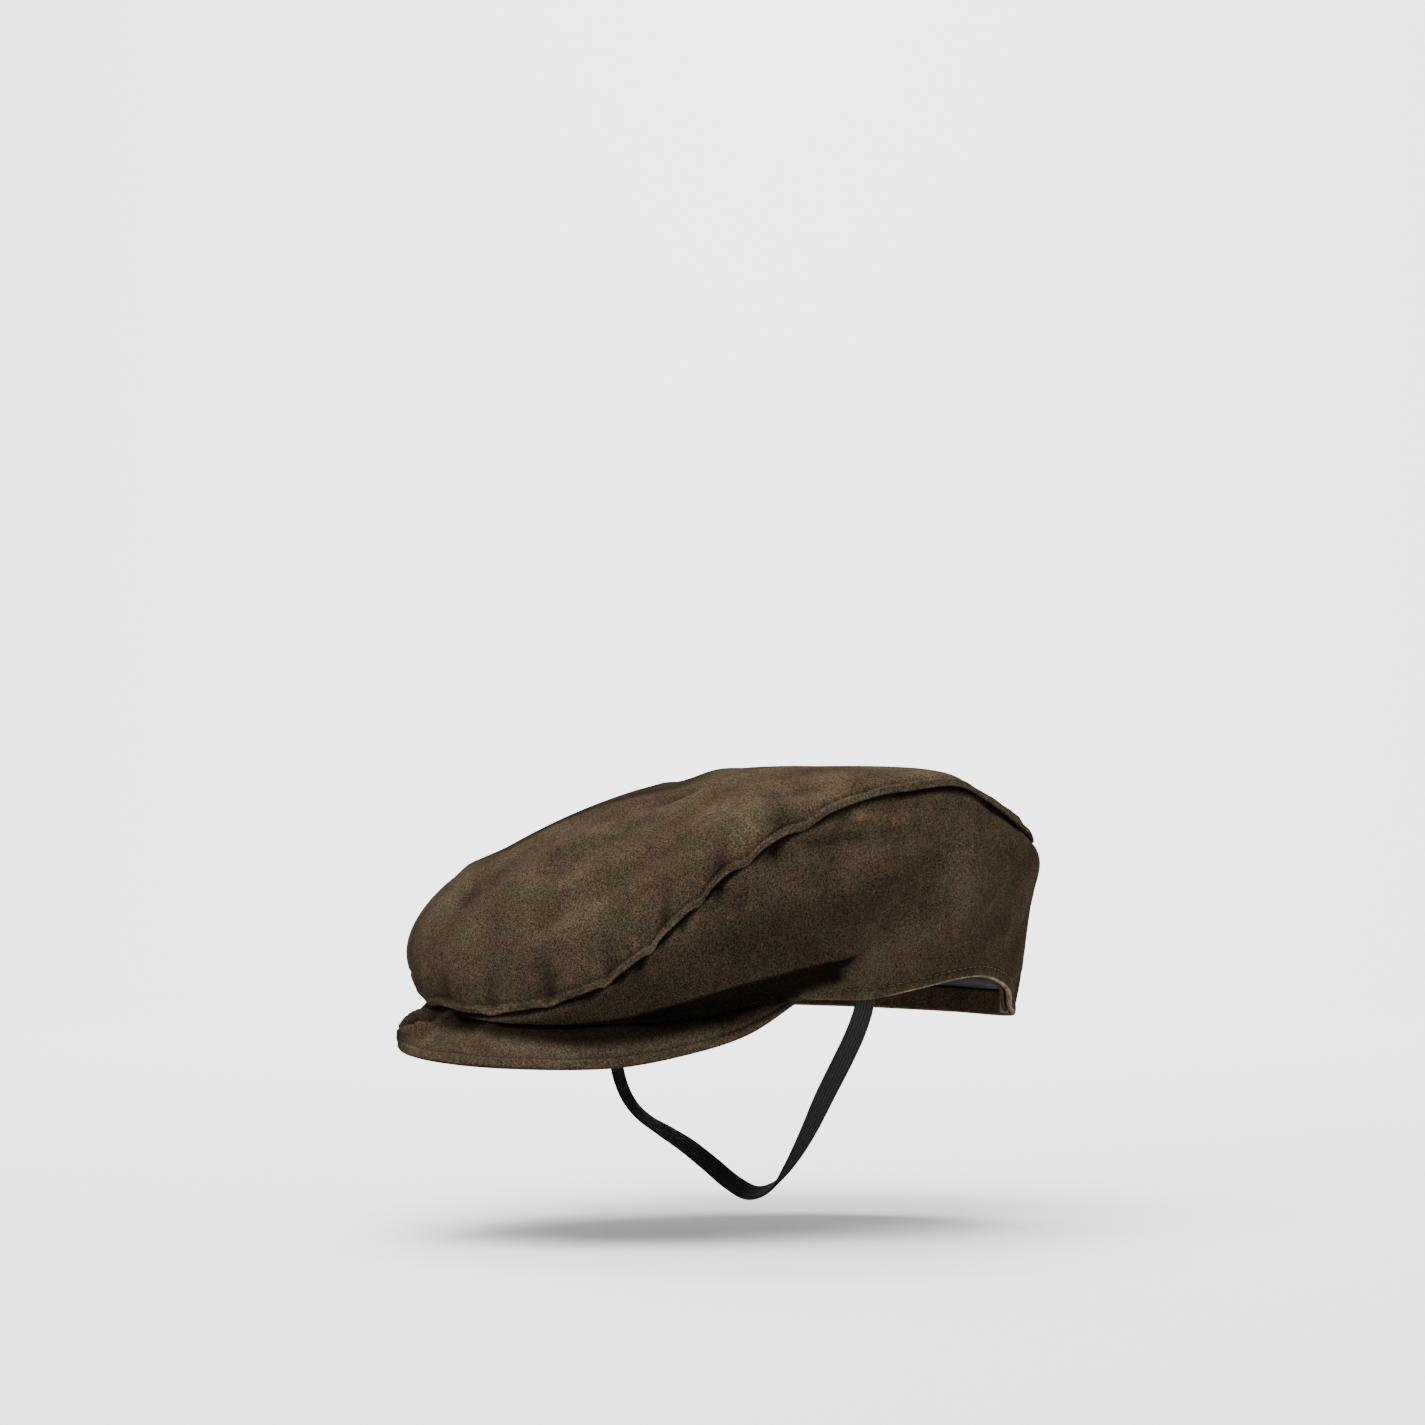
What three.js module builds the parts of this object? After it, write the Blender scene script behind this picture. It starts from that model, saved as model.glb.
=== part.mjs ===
// A soft flat cap of waxed cotton for a child's head, with a lined crown and an elastic chin strap.
// Millimetres, +Z up. The origin is the middle of the head opening at the height of its hem.
// The peak points along -Y, and +X is the wearer's left.
import * as THREE from "three";

// Walls of cloth
const crownWall = 1.6;
const liningWall = 1.0;
const bandWall = 1.2;
const peakUpperWall = 1.6;
const peakUnderWall = 1.3;

// Gaps between pieces that touch
const seamGap = 0.4;
const restGap = 0.35;
const crownRest = 0.9;
const restSoftness = 1.2;
const peakSeat = 0.6;
const bandInset = 2.4;

// The band inside the hem, and the lining above it
const bandTall = 8;
const liningLean = 4;
const liningShoulderUp = 56;
const liningCrownShare = 0.68;
const liningCrownUp = 62;
const liningSeam = 0.5;
const liningSeamGap = 0.004;

// The highest point of the crown, and how its top runs out level before it falls
const crownMiddle = new THREE.Vector3(0, -15, 71.2);
const levelShare = 0.52;
const levelSlope = { x: 0.015, y: -0.05 };

// The elastic strap is flat, with rounded edges
const strapWide = 6.5;
const strapThick = 1.2;
const strapEdge = 0.4;
const strapSteps = 48;

// How finely each piece is drawn
const roundSteps = 72;
const topSteps = 13;
const sideSteps = 9;
const liningSteps = { round: 48, top: 4, side: 5 };
const bandSteps = { round: 48, across: 2 };
const peakSteps = { round: 26, across: 5 };

// Where each side panel ends: the joins at the front centre and at the pinched back
const frontJoin = 0;
const backJoin = 168;
const fullTurn = 360;

// One row for each angle round the head, from the front (0) past the wearer's left (90) to the back.
// "Out" is the distance from the middle and "up" the height. The side panel runs from the hem (rim)
// in under the overhang (tuck), over its lowest edge (hang) and its widest part (belly) to the seam.
// The shoulder is how far the top panel bulges beyond the seam.
const crown = table(
  [
    "angle", "rimOut", "rimUp", "tuckOut", "tuckUp", "hangOut", "hangUp",
    "bellyOut", "bellyUp", "seamOut", "seamUp", "shoulderOut", "shoulderUp",
  ],
  [
    [0, 88, 4, 112, -6.5, 117, -7.5, 119.5, -5.5, 119, -3, 16, 38],
    [15, 86, 4, 111, -7.5, 115.5, -7.5, 117, -5, 116, -2, 14, 37],
    [30, 82, 3, 99, -8, 104.5, -4.5, 108, 2, 109, 8.5, 11, 34],
    [50, 77, 1, 84, -3.5, 96, 5.5, 101, 20, 103, 42, 7, 20],
    [70, 73, 0, 76, 4, 88.5, 13.5, 96, 36, 98, 61, 4, 10],
    [80, 72, 1, 74, 8, 81, 16, 94, 39, 95, 64, 3, 8],
    [95, 72, 4.5, 75, 12, 81, 22, 92, 44, 91, 65.5, 3, 7],
    [110, 71.5, 7, 74.5, 16, 79, 25, 90, 43, 88.5, 57.5, 3, 7],
    [125, 72, 6.5, 75, 16, 78.5, 26, 87, 42, 86, 51.5, 3, 9],
    [150, 76, -1, 78.5, 8, 80.5, 18.5, 83.5, 36, 83, 47.5, 3, 11],
    [160, 79, -6, 81, 4, 82.5, 15.5, 85, 34, 84.5, 47, 3, 12],
    [168, 84, -9.2, 86.5, 2, 88.5, 13, 91, 32, 90, 47, 3, 12],
    [190, 82, -9, 84.5, 1, 87, 12, 91, 30, 90, 45, 4, 12],
    [215, 77, -8, 80, 1.5, 84, 12, 91, 28, 89, 43, 4, 12],
    [240, 74, -7, 77, 2, 83, 12, 92, 27, 90, 42, 5, 12],
    [270, 72, -4, 76, 4, 84, 12, 95, 27, 92, 42, 6, 14],
    [305, 76, 0, 82, 0, 93, 3, 101, 14, 103, 26, 8, 15],
    [332, 83, 3, 100, -6, 108, -5, 113, 0, 115, 5, 15, 26],
  ],
);
const sideStops = [0, 0.2, 0.4, 0.7, 1];

// The outline of the peak from corner to corner, and how high its middle arches over a straight fall
const peak = table(
  ["angle", "edgeOut", "edgeUp", "arch"],
  [
    [-61, 76, -0.5, 0],
    [-50, 87, -5.5, 1.5],
    [-42, 96, -9, 3],
    [-30, 110, -11, 4],
    [-15, 126, -12, 4],
    [0, 131, -13.5, 3],
    [15, 126.5, -17, 4],
    [30, 111, -17, 4],
    [42, 96, -12.5, 3],
    [50, 87, -8, 1.5],
    [61, 76, -0.5, 0],
  ],
);

// Soft folds. Each runs between two points close to the cloth; a ridge has a height and a dip a
// negative one.
const foldColumns = ["x0", "y0", "z0", "x1", "y1", "z1", "wide", "high"];
const topFolds = rowsOf(foldColumns, [
  [-44, -74, 50, -20, -36, 67, 20, -4.5],
  [-16, -84, 50, 6, -48, 66, 16, -3.5],
  [36, -110, 15, 62, -84, 38, 4.5, 1.2],
  [35, -108, 24, 60, -77, 47, 4.5, -1.5],
  [36, -100, 32, 66, -48, 64, 5.5, 1.8],
  [-5, -111, 30, 32, -55, 64, 7, -2],
  [54, -74, 52, 64, -40, 67, 4.5, -1.4],
  [73, -62, 56, 86, -51, 57, 4, 1.2],
  [79, -47, 64, 89, -41, 62, 5, -1.5],
  [-48, -84, 40, -22, -30, 68, 6, 2],
  [-66, -70, 36, -70, -10, 56, 7, -2],
  [-45, 10, 66, -62, 48, 52, 7, 1.6],
  [20, 10, 70, 35, 55, 62, 8, -1.4],
]);
const sideFolds = rowsOf(foldColumns, [
  [84, -57, 46, 93, -29, 50, 4, -1.6],
  [88, -48, 53, 94, -15, 54, 4, 1.4],
  [93, -26, 58, 93, -4, 60, 4, -1],
  [95, -2, 44, 82, -14, 22, 9, -2],
  [81, -9, 20, 74, 19, 19, 4, 0.9],
  [79, -2, 15, 72, 21, 15, 3.5, -0.8],
  [-94, -10, 26, -86, 20, 14, 8, -1.6],
  [-84, 28, 34, -60, 62, 30, 6, 1.2],
  [68, -66, 3.5, 84, -28, 15, 3.5, 1.5],
  [66, -58, -0.5, 76, -26, 7, 4.5, -2.5],
]);
const foldFade = 0.09;

// The middle line of the strap, from its sewn end on the wearer's left to the one on the right, and
// how far its width is turned from the front-to-back direction, in degrees
const strapRoute = rowsOf(
  ["x", "y", "z", "turn"],
  [
    [66.1, -11.5, 8.5, 10],
    [66.1, -11.5, 2, 10],
    [65.2, -11.6, -4, 14],
    [61.2, -12.2, -12, 22],
    [56.2, -13.2, -20, 26],
    [49.3, -15, -31, 20],
    [41.6, -16, -42.5, 2],
    [33.5, -16.8, -52.5, -18],
    [24.5, -17, -60, -36],
    [12.5, -17, -63.4, -38],
    [0.5, -17, -61, -32],
    [-13.5, -17, -55.5, -28],
    [-27, -17, -50.5, -24],
    [-39.5, -17.4, -46.6, -14],
    [-50.5, -18.5, -42.6, 2],
    [-58.5, -19.4, -37, 14],
    [-63.6, -20, -28.5, 18],
    [-65.6, -20.2, -18, 17],
    [-65.7, -19.9, -8, 17],
    [-65.5, -19.8, -1, 17],
    [-65.5, -19.8, 5.5, 17],
  ],
);

const oliveCotton = cloth("#4a3e32", 0.85);
const darkCotton = cloth("#3a2f26", 0.85);
const mauveLining = cloth("#5c5154", 0.7);
const blackElastic = cloth("#1c1a1b", 0.8);

// Helpers

function cloth(color, roughness) {
  return new THREE.MeshStandardMaterial({ color, roughness, metalness: 0, side: THREE.DoubleSide });
}

// One list of values for each named column.
function table(columns, rows) {
  return Object.fromEntries(columns.map((name, i) => [name, rows.map((row) => row[i])]));
}

// One named record for each row.
function rowsOf(columns, rows) {
  return rows.map((row) => Object.fromEntries(columns.map((name, i) => [name, row[i]])));
}

// A smooth curve through the points (xs, ys). With a period it runs round without an end.
function smooth(xs, ys, x, period = 0) {
  const last = xs.length - 1;
  const knot = (i) => {
    if (i >= 0 && i <= last) return [xs[i], ys[i]];
    if (period) {
      const turn = Math.floor(i / xs.length);
      const k = i - turn * xs.length;
      return [xs[k] + turn * period, ys[k]];
    }
    const [end, next] = i < 0 ? [0, 1] : [last, last - 1];
    return [2 * xs[end] - xs[next], 2 * ys[end] - ys[next]];
  };
  const at = period ? x - period * Math.floor((x - xs[0]) / period) : x;
  const lastSpan = period ? last : last - 1;
  let i = 0;
  while (i < lastSpan && knot(i + 1)[0] <= at) i++;
  const [before, a, b, after] = [knot(i - 1), knot(i), knot(i + 1), knot(i + 2)];
  const span = b[0] - a[0];
  const s = (at - a[0]) / span;
  const slopeA = ((b[1] - before[1]) / (b[0] - before[0])) * span;
  const slopeB = ((after[1] - a[1]) / (after[0] - a[0])) * span;
  return (
    (2 * s ** 3 - 3 * s ** 2 + 1) * a[1] +
    (s ** 3 - 2 * s ** 2 + s) * slopeA +
    (3 * s ** 2 - 2 * s ** 3) * b[1] +
    (s ** 3 - s ** 2) * slopeB
  );
}

function crownAt(column, angle) {
  return smooth(crown.angle, crown[column], angle, fullTurn);
}

function peakAt(column, angle) {
  return smooth(peak.angle, peak[column], angle);
}

// The point at an angle round the head, a distance out from its middle and a height.
function around(angle, out, up) {
  const a = THREE.MathUtils.degToRad(angle);
  return new THREE.Vector3(out * Math.sin(a), -out * Math.cos(a), up);
}

function bezier(points, s) {
  const t = 1 - s;
  const weights = [t ** 3, 3 * s * t ** 2, 3 * s ** 2 * t, s ** 3];
  const sum = new THREE.Vector3();
  points.forEach((point, i) => sum.addScaledVector(point, weights[i]));
  return sum;
}

// The upper face of the peak, from its seam with the crown (0) to its edge (1).
function peakFace(angle, share) {
  const baseOut = crownAt("rimOut", angle) + peakSeat;
  const baseUp = crownAt("rimUp", angle) - peakSeat;
  const out = THREE.MathUtils.lerp(baseOut, peakAt("edgeOut", angle), share);
  const fall = THREE.MathUtils.lerp(baseUp, peakAt("edgeUp", angle), share);
  return around(angle, out, fall + 4 * peakAt("arch", angle) * share * (1 - share));
}

// How high the peak's upper face is under a point of the crown, if the peak reaches there.
function peakUnder(angle, out) {
  const turn = angle > fullTurn / 2 ? angle - fullTurn : angle;
  if (turn < peak.angle[0] || turn > peak.angle.at(-1)) return -Infinity;
  const baseOut = crownAt("rimOut", turn) + peakSeat;
  const share = (out - baseOut) / (peakAt("edgeOut", turn) - baseOut);
  if (share < 0 || share > 1) return -Infinity;
  return peakFace(turn, share).z;
}

// The higher of two heights, with a soft turn where they are close.
function softMax(a, b) {
  return b === -Infinity ? a : (a + b + Math.hypot(a - b, restSoftness)) / 2;
}

// The outer face of the side panels, from the hem (0) to the seam under the top panel (1). In front
// it rests on the peak.
function sideFace(angle, share) {
  const stops = ["rim", "tuck", "hang", "belly", "seam"];
  const out = smooth(sideStops, stops.map((stop) => crownAt(stop + "Out", angle)), share);
  const up = smooth(sideStops, stops.map((stop) => crownAt(stop + "Up", angle)), share);
  return around(angle, out, softMax(up, peakUnder(angle, out) + crownRest));
}

// The outer face of the top panel, from the middle of the crown (0) to the seam (1).
function topFace(angle, share) {
  const seam = sideFace(angle, 1);
  const level = seam.clone().sub(crownMiddle);
  level.z = level.x * levelSlope.x + level.y * levelSlope.y;
  const shoulder = around(angle, crownAt("seamOut", angle) + crownAt("shoulderOut", angle), seam.z);
  shoulder.z += crownAt("shoulderUp", angle);
  const easy = crownMiddle.clone().addScaledVector(level, levelShare);
  return bezier([crownMiddle, easy, shoulder, seam], share);
}

// The outer face of the lining, from the middle of the crown (0) to the top of the band (1).
function liningFace(angle, share) {
  const rimOut = crownAt("rimOut", angle);
  const start = around(angle, rimOut - bandInset, crownAt("rimUp", angle) + bandTall + seamGap);
  const shoulder = around(angle, rimOut - bandInset + liningLean, liningShoulderUp);
  const level = around(angle, rimOut * liningCrownShare, liningCrownUp);
  const middle = new THREE.Vector3(0, crownMiddle.y, liningCrownUp);
  return bezier([middle, level, shoulder, start], share);
}

// The outer face of the band, from just above the hem (0) to the lining (1).
function bandFace(angle, share) {
  const up = crownAt("rimUp", angle) + restGap + share * (bandTall - restGap);
  return around(angle, crownAt("rimOut", angle) - bandInset, up);
}

// The direction out of a face at one place, on the side away from the inside of the cap.
function outward(face, angle, share, inside) {
  const step = 0.01;
  const [low, high] = [Math.max(share - step, step), Math.min(share + step, 1)];
  const near = THREE.MathUtils.clamp(share, low, high);
  const turned = face(angle + 1, near).sub(face(angle - 1, near));
  const across = face(angle, high).sub(face(angle, low));
  const direction = turned.cross(across).normalize();
  const away = face(angle, near).sub(inside);
  return direction.dot(away) < 0 ? direction.negate() : direction;
}

const insideCrown = new THREE.Vector3(0, crownMiddle.y, 20);
const topOut = (angle, share) => outward(topFace, angle, share, insideCrown);

// The side panel turns under itself in front, so its outside is told by its direction round the cap.
function sideOut(angle, share) {
  const step = 0.01;
  const [low, high] = [Math.max(share - step, 0), Math.min(share + step, 1)];
  const turned = sideFace(angle + 1, share).sub(sideFace(angle - 1, share));
  return turned.cross(sideFace(angle, high).sub(sideFace(angle, low))).normalize();
}

// How far the folds lift or sink the cloth at a point.
function foldLift(point, folds) {
  const onFold = new THREE.Vector3();
  return folds.reduce((sum, fold) => {
    const start = new THREE.Vector3(fold.x0, fold.y0, fold.z0);
    const line = new THREE.Line3(start, new THREE.Vector3(fold.x1, fold.y1, fold.z1));
    line.closestPointToPoint(point, true, onFold);
    return sum + fold.high * Math.exp(-((onFold.distanceTo(point) / fold.wide) ** 2));
  }, 0);
}

// 0 at the ends of a share that runs from 0 to 1, and 1 away from them.
function fade(share, fromStart, fromEnd) {
  const rise = fromStart ? THREE.MathUtils.smoothstep(share, 0, fromStart) : 1;
  return rise * THREE.MathUtils.smoothstep(1 - share, 0, fromEnd);
}

// The direction through both walls where the top panel meets a side panel, so that they meet in a mitre.
function seamThrough(angle) {
  const above = topOut(angle, 1);
  const both = above.clone().add(sideOut(angle, 1)).normalize();
  return both.multiplyScalar(crownWall / both.dot(above));
}

// Moves a point along its face, away from the seam, by half of the gap there.
function clearOfSeam(point, further) {
  const along = further.clone().sub(point).normalize();
  return point.clone().addScaledVector(along, seamGap / 2);
}

// Solids

// One closed solid between two grids of points. The rows run along the cloth and may close on
// themselves; a column whose points are all the same is the middle of a disc.
function wallBetween(outer, inner, closed) {
  const rows = outer.length;
  const columns = outer[0].length;
  const corners = [];
  const triangle = (a, b, c) => {
    const distinct = a.distanceTo(b) > 1e-6 && b.distanceTo(c) > 1e-6 && c.distanceTo(a) > 1e-6;
    if (distinct) corners.push(a, b, c);
  };
  const quad = (a, b, c, d) => {
    triangle(a, b, c);
    triangle(a, c, d);
  };
  const spans = closed ? rows : rows - 1;
  for (let i = 0; i < spans; i++) {
    const k = (i + 1) % rows;
    for (let j = 0; j < columns - 1; j++) {
      quad(outer[i][j], outer[k][j], outer[k][j + 1], outer[i][j + 1]);
      quad(inner[i][j + 1], inner[k][j + 1], inner[k][j], inner[i][j]);
    }
    quad(inner[i][0], inner[k][0], outer[k][0], outer[i][0]);
    const end = columns - 1;
    quad(outer[i][end], outer[k][end], inner[k][end], inner[i][end]);
  }
  if (!closed) {
    const end = rows - 1;
    for (let j = 0; j < columns - 1; j++) {
      quad(outer[0][j], outer[0][j + 1], inner[0][j + 1], inner[0][j]);
      quad(inner[end][j], inner[end][j + 1], outer[end][j + 1], outer[end][j]);
    }
  }
  return solid(corners);
}

// A geometry from triangles, turned so that its faces point out.
function solid(corners) {
  let volume = 0;
  for (let i = 0; i < corners.length; i += 3) {
    volume += corners[i].dot(corners[i + 1].clone().cross(corners[i + 2]));
  }
  const facing = volume < 0 ? corners.slice().reverse() : corners;
  return new THREE.BufferGeometry().setFromPoints(facing);
}

function spread(from, to, steps) {
  return Array.from({ length: steps + 1 }, (_, i) => from + ((to - from) * i) / steps);
}

function named(name, geometry, material) {
  const mesh = new THREE.Mesh(geometry, material);
  mesh.name = name;
  return mesh;
}

function topPanel() {
  const angles = spread(0, fullTurn, roundSteps).slice(0, -1);
  const shares = spread(0, 1, topSteps);
  const outer = [];
  const inner = [];
  for (const angle of angles) {
    const rows = shares.map((share) => {
      const flat = topFace(angle, share);
      if (share === 0) return [flat, flat.clone().setZ(flat.z - crownWall)];
      if (share === 1) {
        const edge = clearOfSeam(flat, topFace(angle, 0.97));
        return [edge, edge.clone().sub(seamThrough(angle))];
      }
      const out = topOut(angle, share);
      const lift = foldLift(flat, topFolds) * fade(share, foldFade, foldFade);
      const face = flat.clone().addScaledVector(out, lift);
      return [face, face.clone().addScaledVector(out, -crownWall)];
    });
    outer.push(rows.map((pair) => pair[0]));
    inner.push(rows.map((pair) => pair[1]));
  }
  return wallBetween(outer, inner, true);
}

function sidePanel(fromAngle, toAngle) {
  const steps = Math.round((roundSteps * (toAngle - fromAngle)) / fullTurn);
  const clear = seamGap / 2 / THREE.MathUtils.degToRad(1) / crown.rimOut[0];
  const angles = spread(fromAngle + clear, toAngle - clear, steps);
  const shares = spread(0, 1, sideSteps);
  const outer = [];
  const inner = [];
  for (const angle of angles) {
    const rows = shares.map((share) => {
      const flat = sideFace(angle, share);
      if (share === 1) {
        const edge = clearOfSeam(flat, sideFace(angle, 0.97));
        return [edge, edge.clone().sub(seamThrough(angle))];
      }
      const out = sideOut(angle, share);
      const lift = foldLift(flat, sideFolds) * fade(share, foldFade, foldFade);
      const face = flat.clone().addScaledVector(out, lift);
      return [face, face.clone().addScaledVector(out, -crownWall)];
    });
    outer.push(rows.map((pair) => pair[0]));
    inner.push(rows.map((pair) => pair[1]));
  }
  return wallBetween(outer, inner, false);
}

// One cloth of the peak, between two depths below its upper face.
function peakLayer(fromDepth, toDepth) {
  const angles = spread(peak.angle[0], peak.angle.at(-1), peakSteps.round);
  const shares = spread(0, 1, peakSteps.across);
  const below = new THREE.Vector3(0, 0, -200);
  const grid = (depth) =>
    angles.map((angle) => {
      const up = outward(peakFace, angle, 0.5, below);
      return shares.map((share) => peakFace(angle, share).addScaledVector(up, -depth));
    });
  return wallBetween(grid(fromDepth), grid(toDepth), false);
}

// A piece of the lining, between two angles and two shares of the way from its middle to the band.
function liningPiece(fromAngle, toAngle, fromShare, toShare, across) {
  const whole = toAngle - fromAngle === fullTurn;
  const clear = whole ? 0 : seamGap / 2 / THREE.MathUtils.degToRad(1) / crown.rimOut[0];
  const steps = Math.round((liningSteps.round * (toAngle - fromAngle)) / fullTurn);
  const angles = spread(fromAngle + clear, toAngle - clear, steps).slice(0, whole ? -1 : undefined);
  const shares = spread(fromShare, toShare, across);
  const outer = angles.map((angle) => shares.map((share) => liningFace(angle, share)));
  const inner = angles.map((angle, i) =>
    shares.map((share, j) => {
      if (share === 0) return outer[i][j].clone().setZ(liningCrownUp - liningWall);
      if (share === 1) return outer[i][j].clone().sub(around(angle, liningWall, 0));
      const out = outward(liningFace, angle, share, insideCrown);
      return outer[i][j].clone().addScaledVector(out, -liningWall);
    }),
  );
  return wallBetween(outer, inner, whole);
}

function innerBand() {
  const angles = spread(0, fullTurn, bandSteps.round).slice(0, -1);
  const shares = spread(0, 1, bandSteps.across);
  const outer = angles.map((angle) => shares.map((share) => bandFace(angle, share)));
  const through = (angle) => around(angle, bandWall, 0);
  const inner = angles.map((angle, i) => outer[i].map((point) => point.clone().sub(through(angle))));
  return wallBetween(outer, inner, true);
}

// The place on the strap's middle line, and the turn of its width, at a share of the route's points.
function strapAt(share) {
  const places = strapRoute.map((_, i) => i);
  const value = (column) =>
    smooth(places, strapRoute.map((row) => row[column]), share * (strapRoute.length - 1));
  return { place: new THREE.Vector3(value("x"), value("y"), value("z")), turn: value("turn") };
}

function chinStrap() {
  const step = 1e-3;
  const half = { wide: strapWide / 2, thick: strapThick / 2 };
  const profile = [
    [half.wide, half.thick - strapEdge],
    [half.wide - strapEdge, half.thick],
    [strapEdge - half.wide, half.thick],
    [-half.wide, half.thick - strapEdge],
    [-half.wide, strapEdge - half.thick],
    [strapEdge - half.wide, -half.thick],
    [half.wide - strapEdge, -half.thick],
    [half.wide, strapEdge - half.thick],
  ];
  const rings = spread(0, 1, strapSteps).map((share) => {
    const { place, turn } = strapAt(share);
    const ahead = strapAt(Math.min(share + step, 1)).place;
    const along = ahead.sub(strapAt(Math.max(share - step, 0)).place).normalize();
    const level = new THREE.Vector3(0, 1, 0).addScaledVector(along, -along.y).normalize();
    const wide = level.applyAxisAngle(along, THREE.MathUtils.degToRad(turn));
    const thick = along.clone().cross(wide);
    return profile.map(([w, t]) =>
      place.clone().addScaledVector(wide, w).addScaledVector(thick, t),
    );
  });
  const corners = [];
  for (let i = 0; i < rings.length - 1; i++) {
    profile.forEach((_, j) => {
      const k = (j + 1) % profile.length;
      corners.push(rings[i][j], rings[i][k], rings[i + 1][k]);
      corners.push(rings[i][j], rings[i + 1][k], rings[i + 1][j]);
    });
  }
  for (let j = 1; j < profile.length - 1; j++) {
    corners.push(rings[0][0], rings[0][j + 1], rings[0][j]);
    corners.push(rings.at(-1)[0], rings.at(-1)[j], rings.at(-1)[j + 1]);
  }
  return solid(corners);
}

// The cap

const shell = new THREE.Group();
shell.add(
  named("top_panel", topPanel(), oliveCotton),
  named("side_panel_left", sidePanel(frontJoin, backJoin), oliveCotton),
  named("side_panel_right", sidePanel(backJoin, fullTurn + frontJoin), oliveCotton),
);

const visor = new THREE.Group();
const underDepth = peakUpperWall + restGap;
visor.add(
  named("peak_upper", peakLayer(0, peakUpperWall), oliveCotton),
  named("peak_under", peakLayer(underDepth, underDepth + peakUnderWall), darkCotton),
);

const insides = new THREE.Group();
const halfTurn = fullTurn / 2;
const liningSide = (from, to) => liningPiece(from, to, liningSeam, 1, liningSteps.side);
const liningTop = liningPiece(0, fullTurn, 0, liningSeam - liningSeamGap, liningSteps.top);
insides.add(
  named("inner_band", innerBand(), darkCotton),
  named("lining_top", liningTop, mauveLining),
  named("lining_side_left", liningSide(0, halfTurn), mauveLining),
  named("lining_side_right", liningSide(halfTurn, fullTurn), mauveLining),
);

const cap = new THREE.Group();
cap.add(shell, visor, insides, named("chin_strap", chinStrap(), blackElastic));

export default cap;
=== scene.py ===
# %% [markdown]
# A child's flat cap of waxed cotton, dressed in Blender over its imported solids.
# The solids give the main sizes and places. Here the plain walls are replaced by finer cloth with
# puckers, rolled edges and stitches. The hem, the seam, the back of the top and the peak lie up to
# a few millimetres off the solids, where that is closer to the real cap. Lengths are worked out in
# millimetres, and go into Blender in metres. The origin is the middle of the head opening, +Z is up
# and the peak points along -Y.

# %% Load the frame
import math

import bpy
import numpy as np

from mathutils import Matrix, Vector


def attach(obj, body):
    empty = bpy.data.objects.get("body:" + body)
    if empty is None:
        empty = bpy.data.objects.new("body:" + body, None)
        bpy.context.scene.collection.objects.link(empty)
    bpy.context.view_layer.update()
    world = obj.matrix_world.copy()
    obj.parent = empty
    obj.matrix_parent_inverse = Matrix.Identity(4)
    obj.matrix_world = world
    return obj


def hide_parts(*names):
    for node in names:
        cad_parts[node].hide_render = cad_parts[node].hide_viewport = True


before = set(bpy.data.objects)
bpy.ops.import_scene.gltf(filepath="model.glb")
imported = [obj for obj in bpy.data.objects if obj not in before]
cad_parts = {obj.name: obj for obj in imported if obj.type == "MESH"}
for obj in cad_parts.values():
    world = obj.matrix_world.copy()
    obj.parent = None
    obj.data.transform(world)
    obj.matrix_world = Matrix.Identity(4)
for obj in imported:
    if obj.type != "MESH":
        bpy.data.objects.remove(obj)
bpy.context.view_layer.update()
mm = 0.001
bpy.ops.object.select_all(action="DESELECT")
print("solids:", sorted(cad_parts))

# %% [markdown]
# The camera stands where the photograph was taken from: a little above the cap, in front of the
# wearer's left side. A long lens keeps the far side nearly as big as the near one. The camera aims
# up and to the left of the cap's middle, which puts the cap in the lower half of the picture.

# %% Camera
azimuth, elevation = math.radians(56), math.radians(2.2)
distance = 1500 * mm
frame_pixels, pixels_per_mm, sensor = 1425, 3.11, 36.0
origin_right, origin_down = 776 - frame_pixels / 2, 990 - frame_pixels / 2

back = Vector((math.sin(azimuth) * math.cos(elevation), -math.cos(azimuth) * math.cos(elevation),
               math.sin(elevation)))
right = Vector((math.cos(azimuth), math.sin(azimuth), 0))
up = back.cross(right)
aim = (up * origin_down - right * origin_right) * (mm / pixels_per_mm)

bpy.ops.object.camera_add(location=back * distance)
camera = bpy.context.object
camera.rotation_euler = (aim - camera.location).to_track_quat("-Z", "Y").to_euler()
camera.data.sensor_width = sensor
camera.data.lens = sensor * distance / (frame_pixels / pixels_per_mm * mm)
bpy.context.scene.camera = camera
print("lens", round(camera.data.lens, 1), "mm")

# %% [markdown]
# Cloth follows a few named lines: the hem, the fold where the crown tucks under itself, its lowest
# and widest places, and the seam. Each is given at a few places, and a smooth curve goes through.

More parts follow.
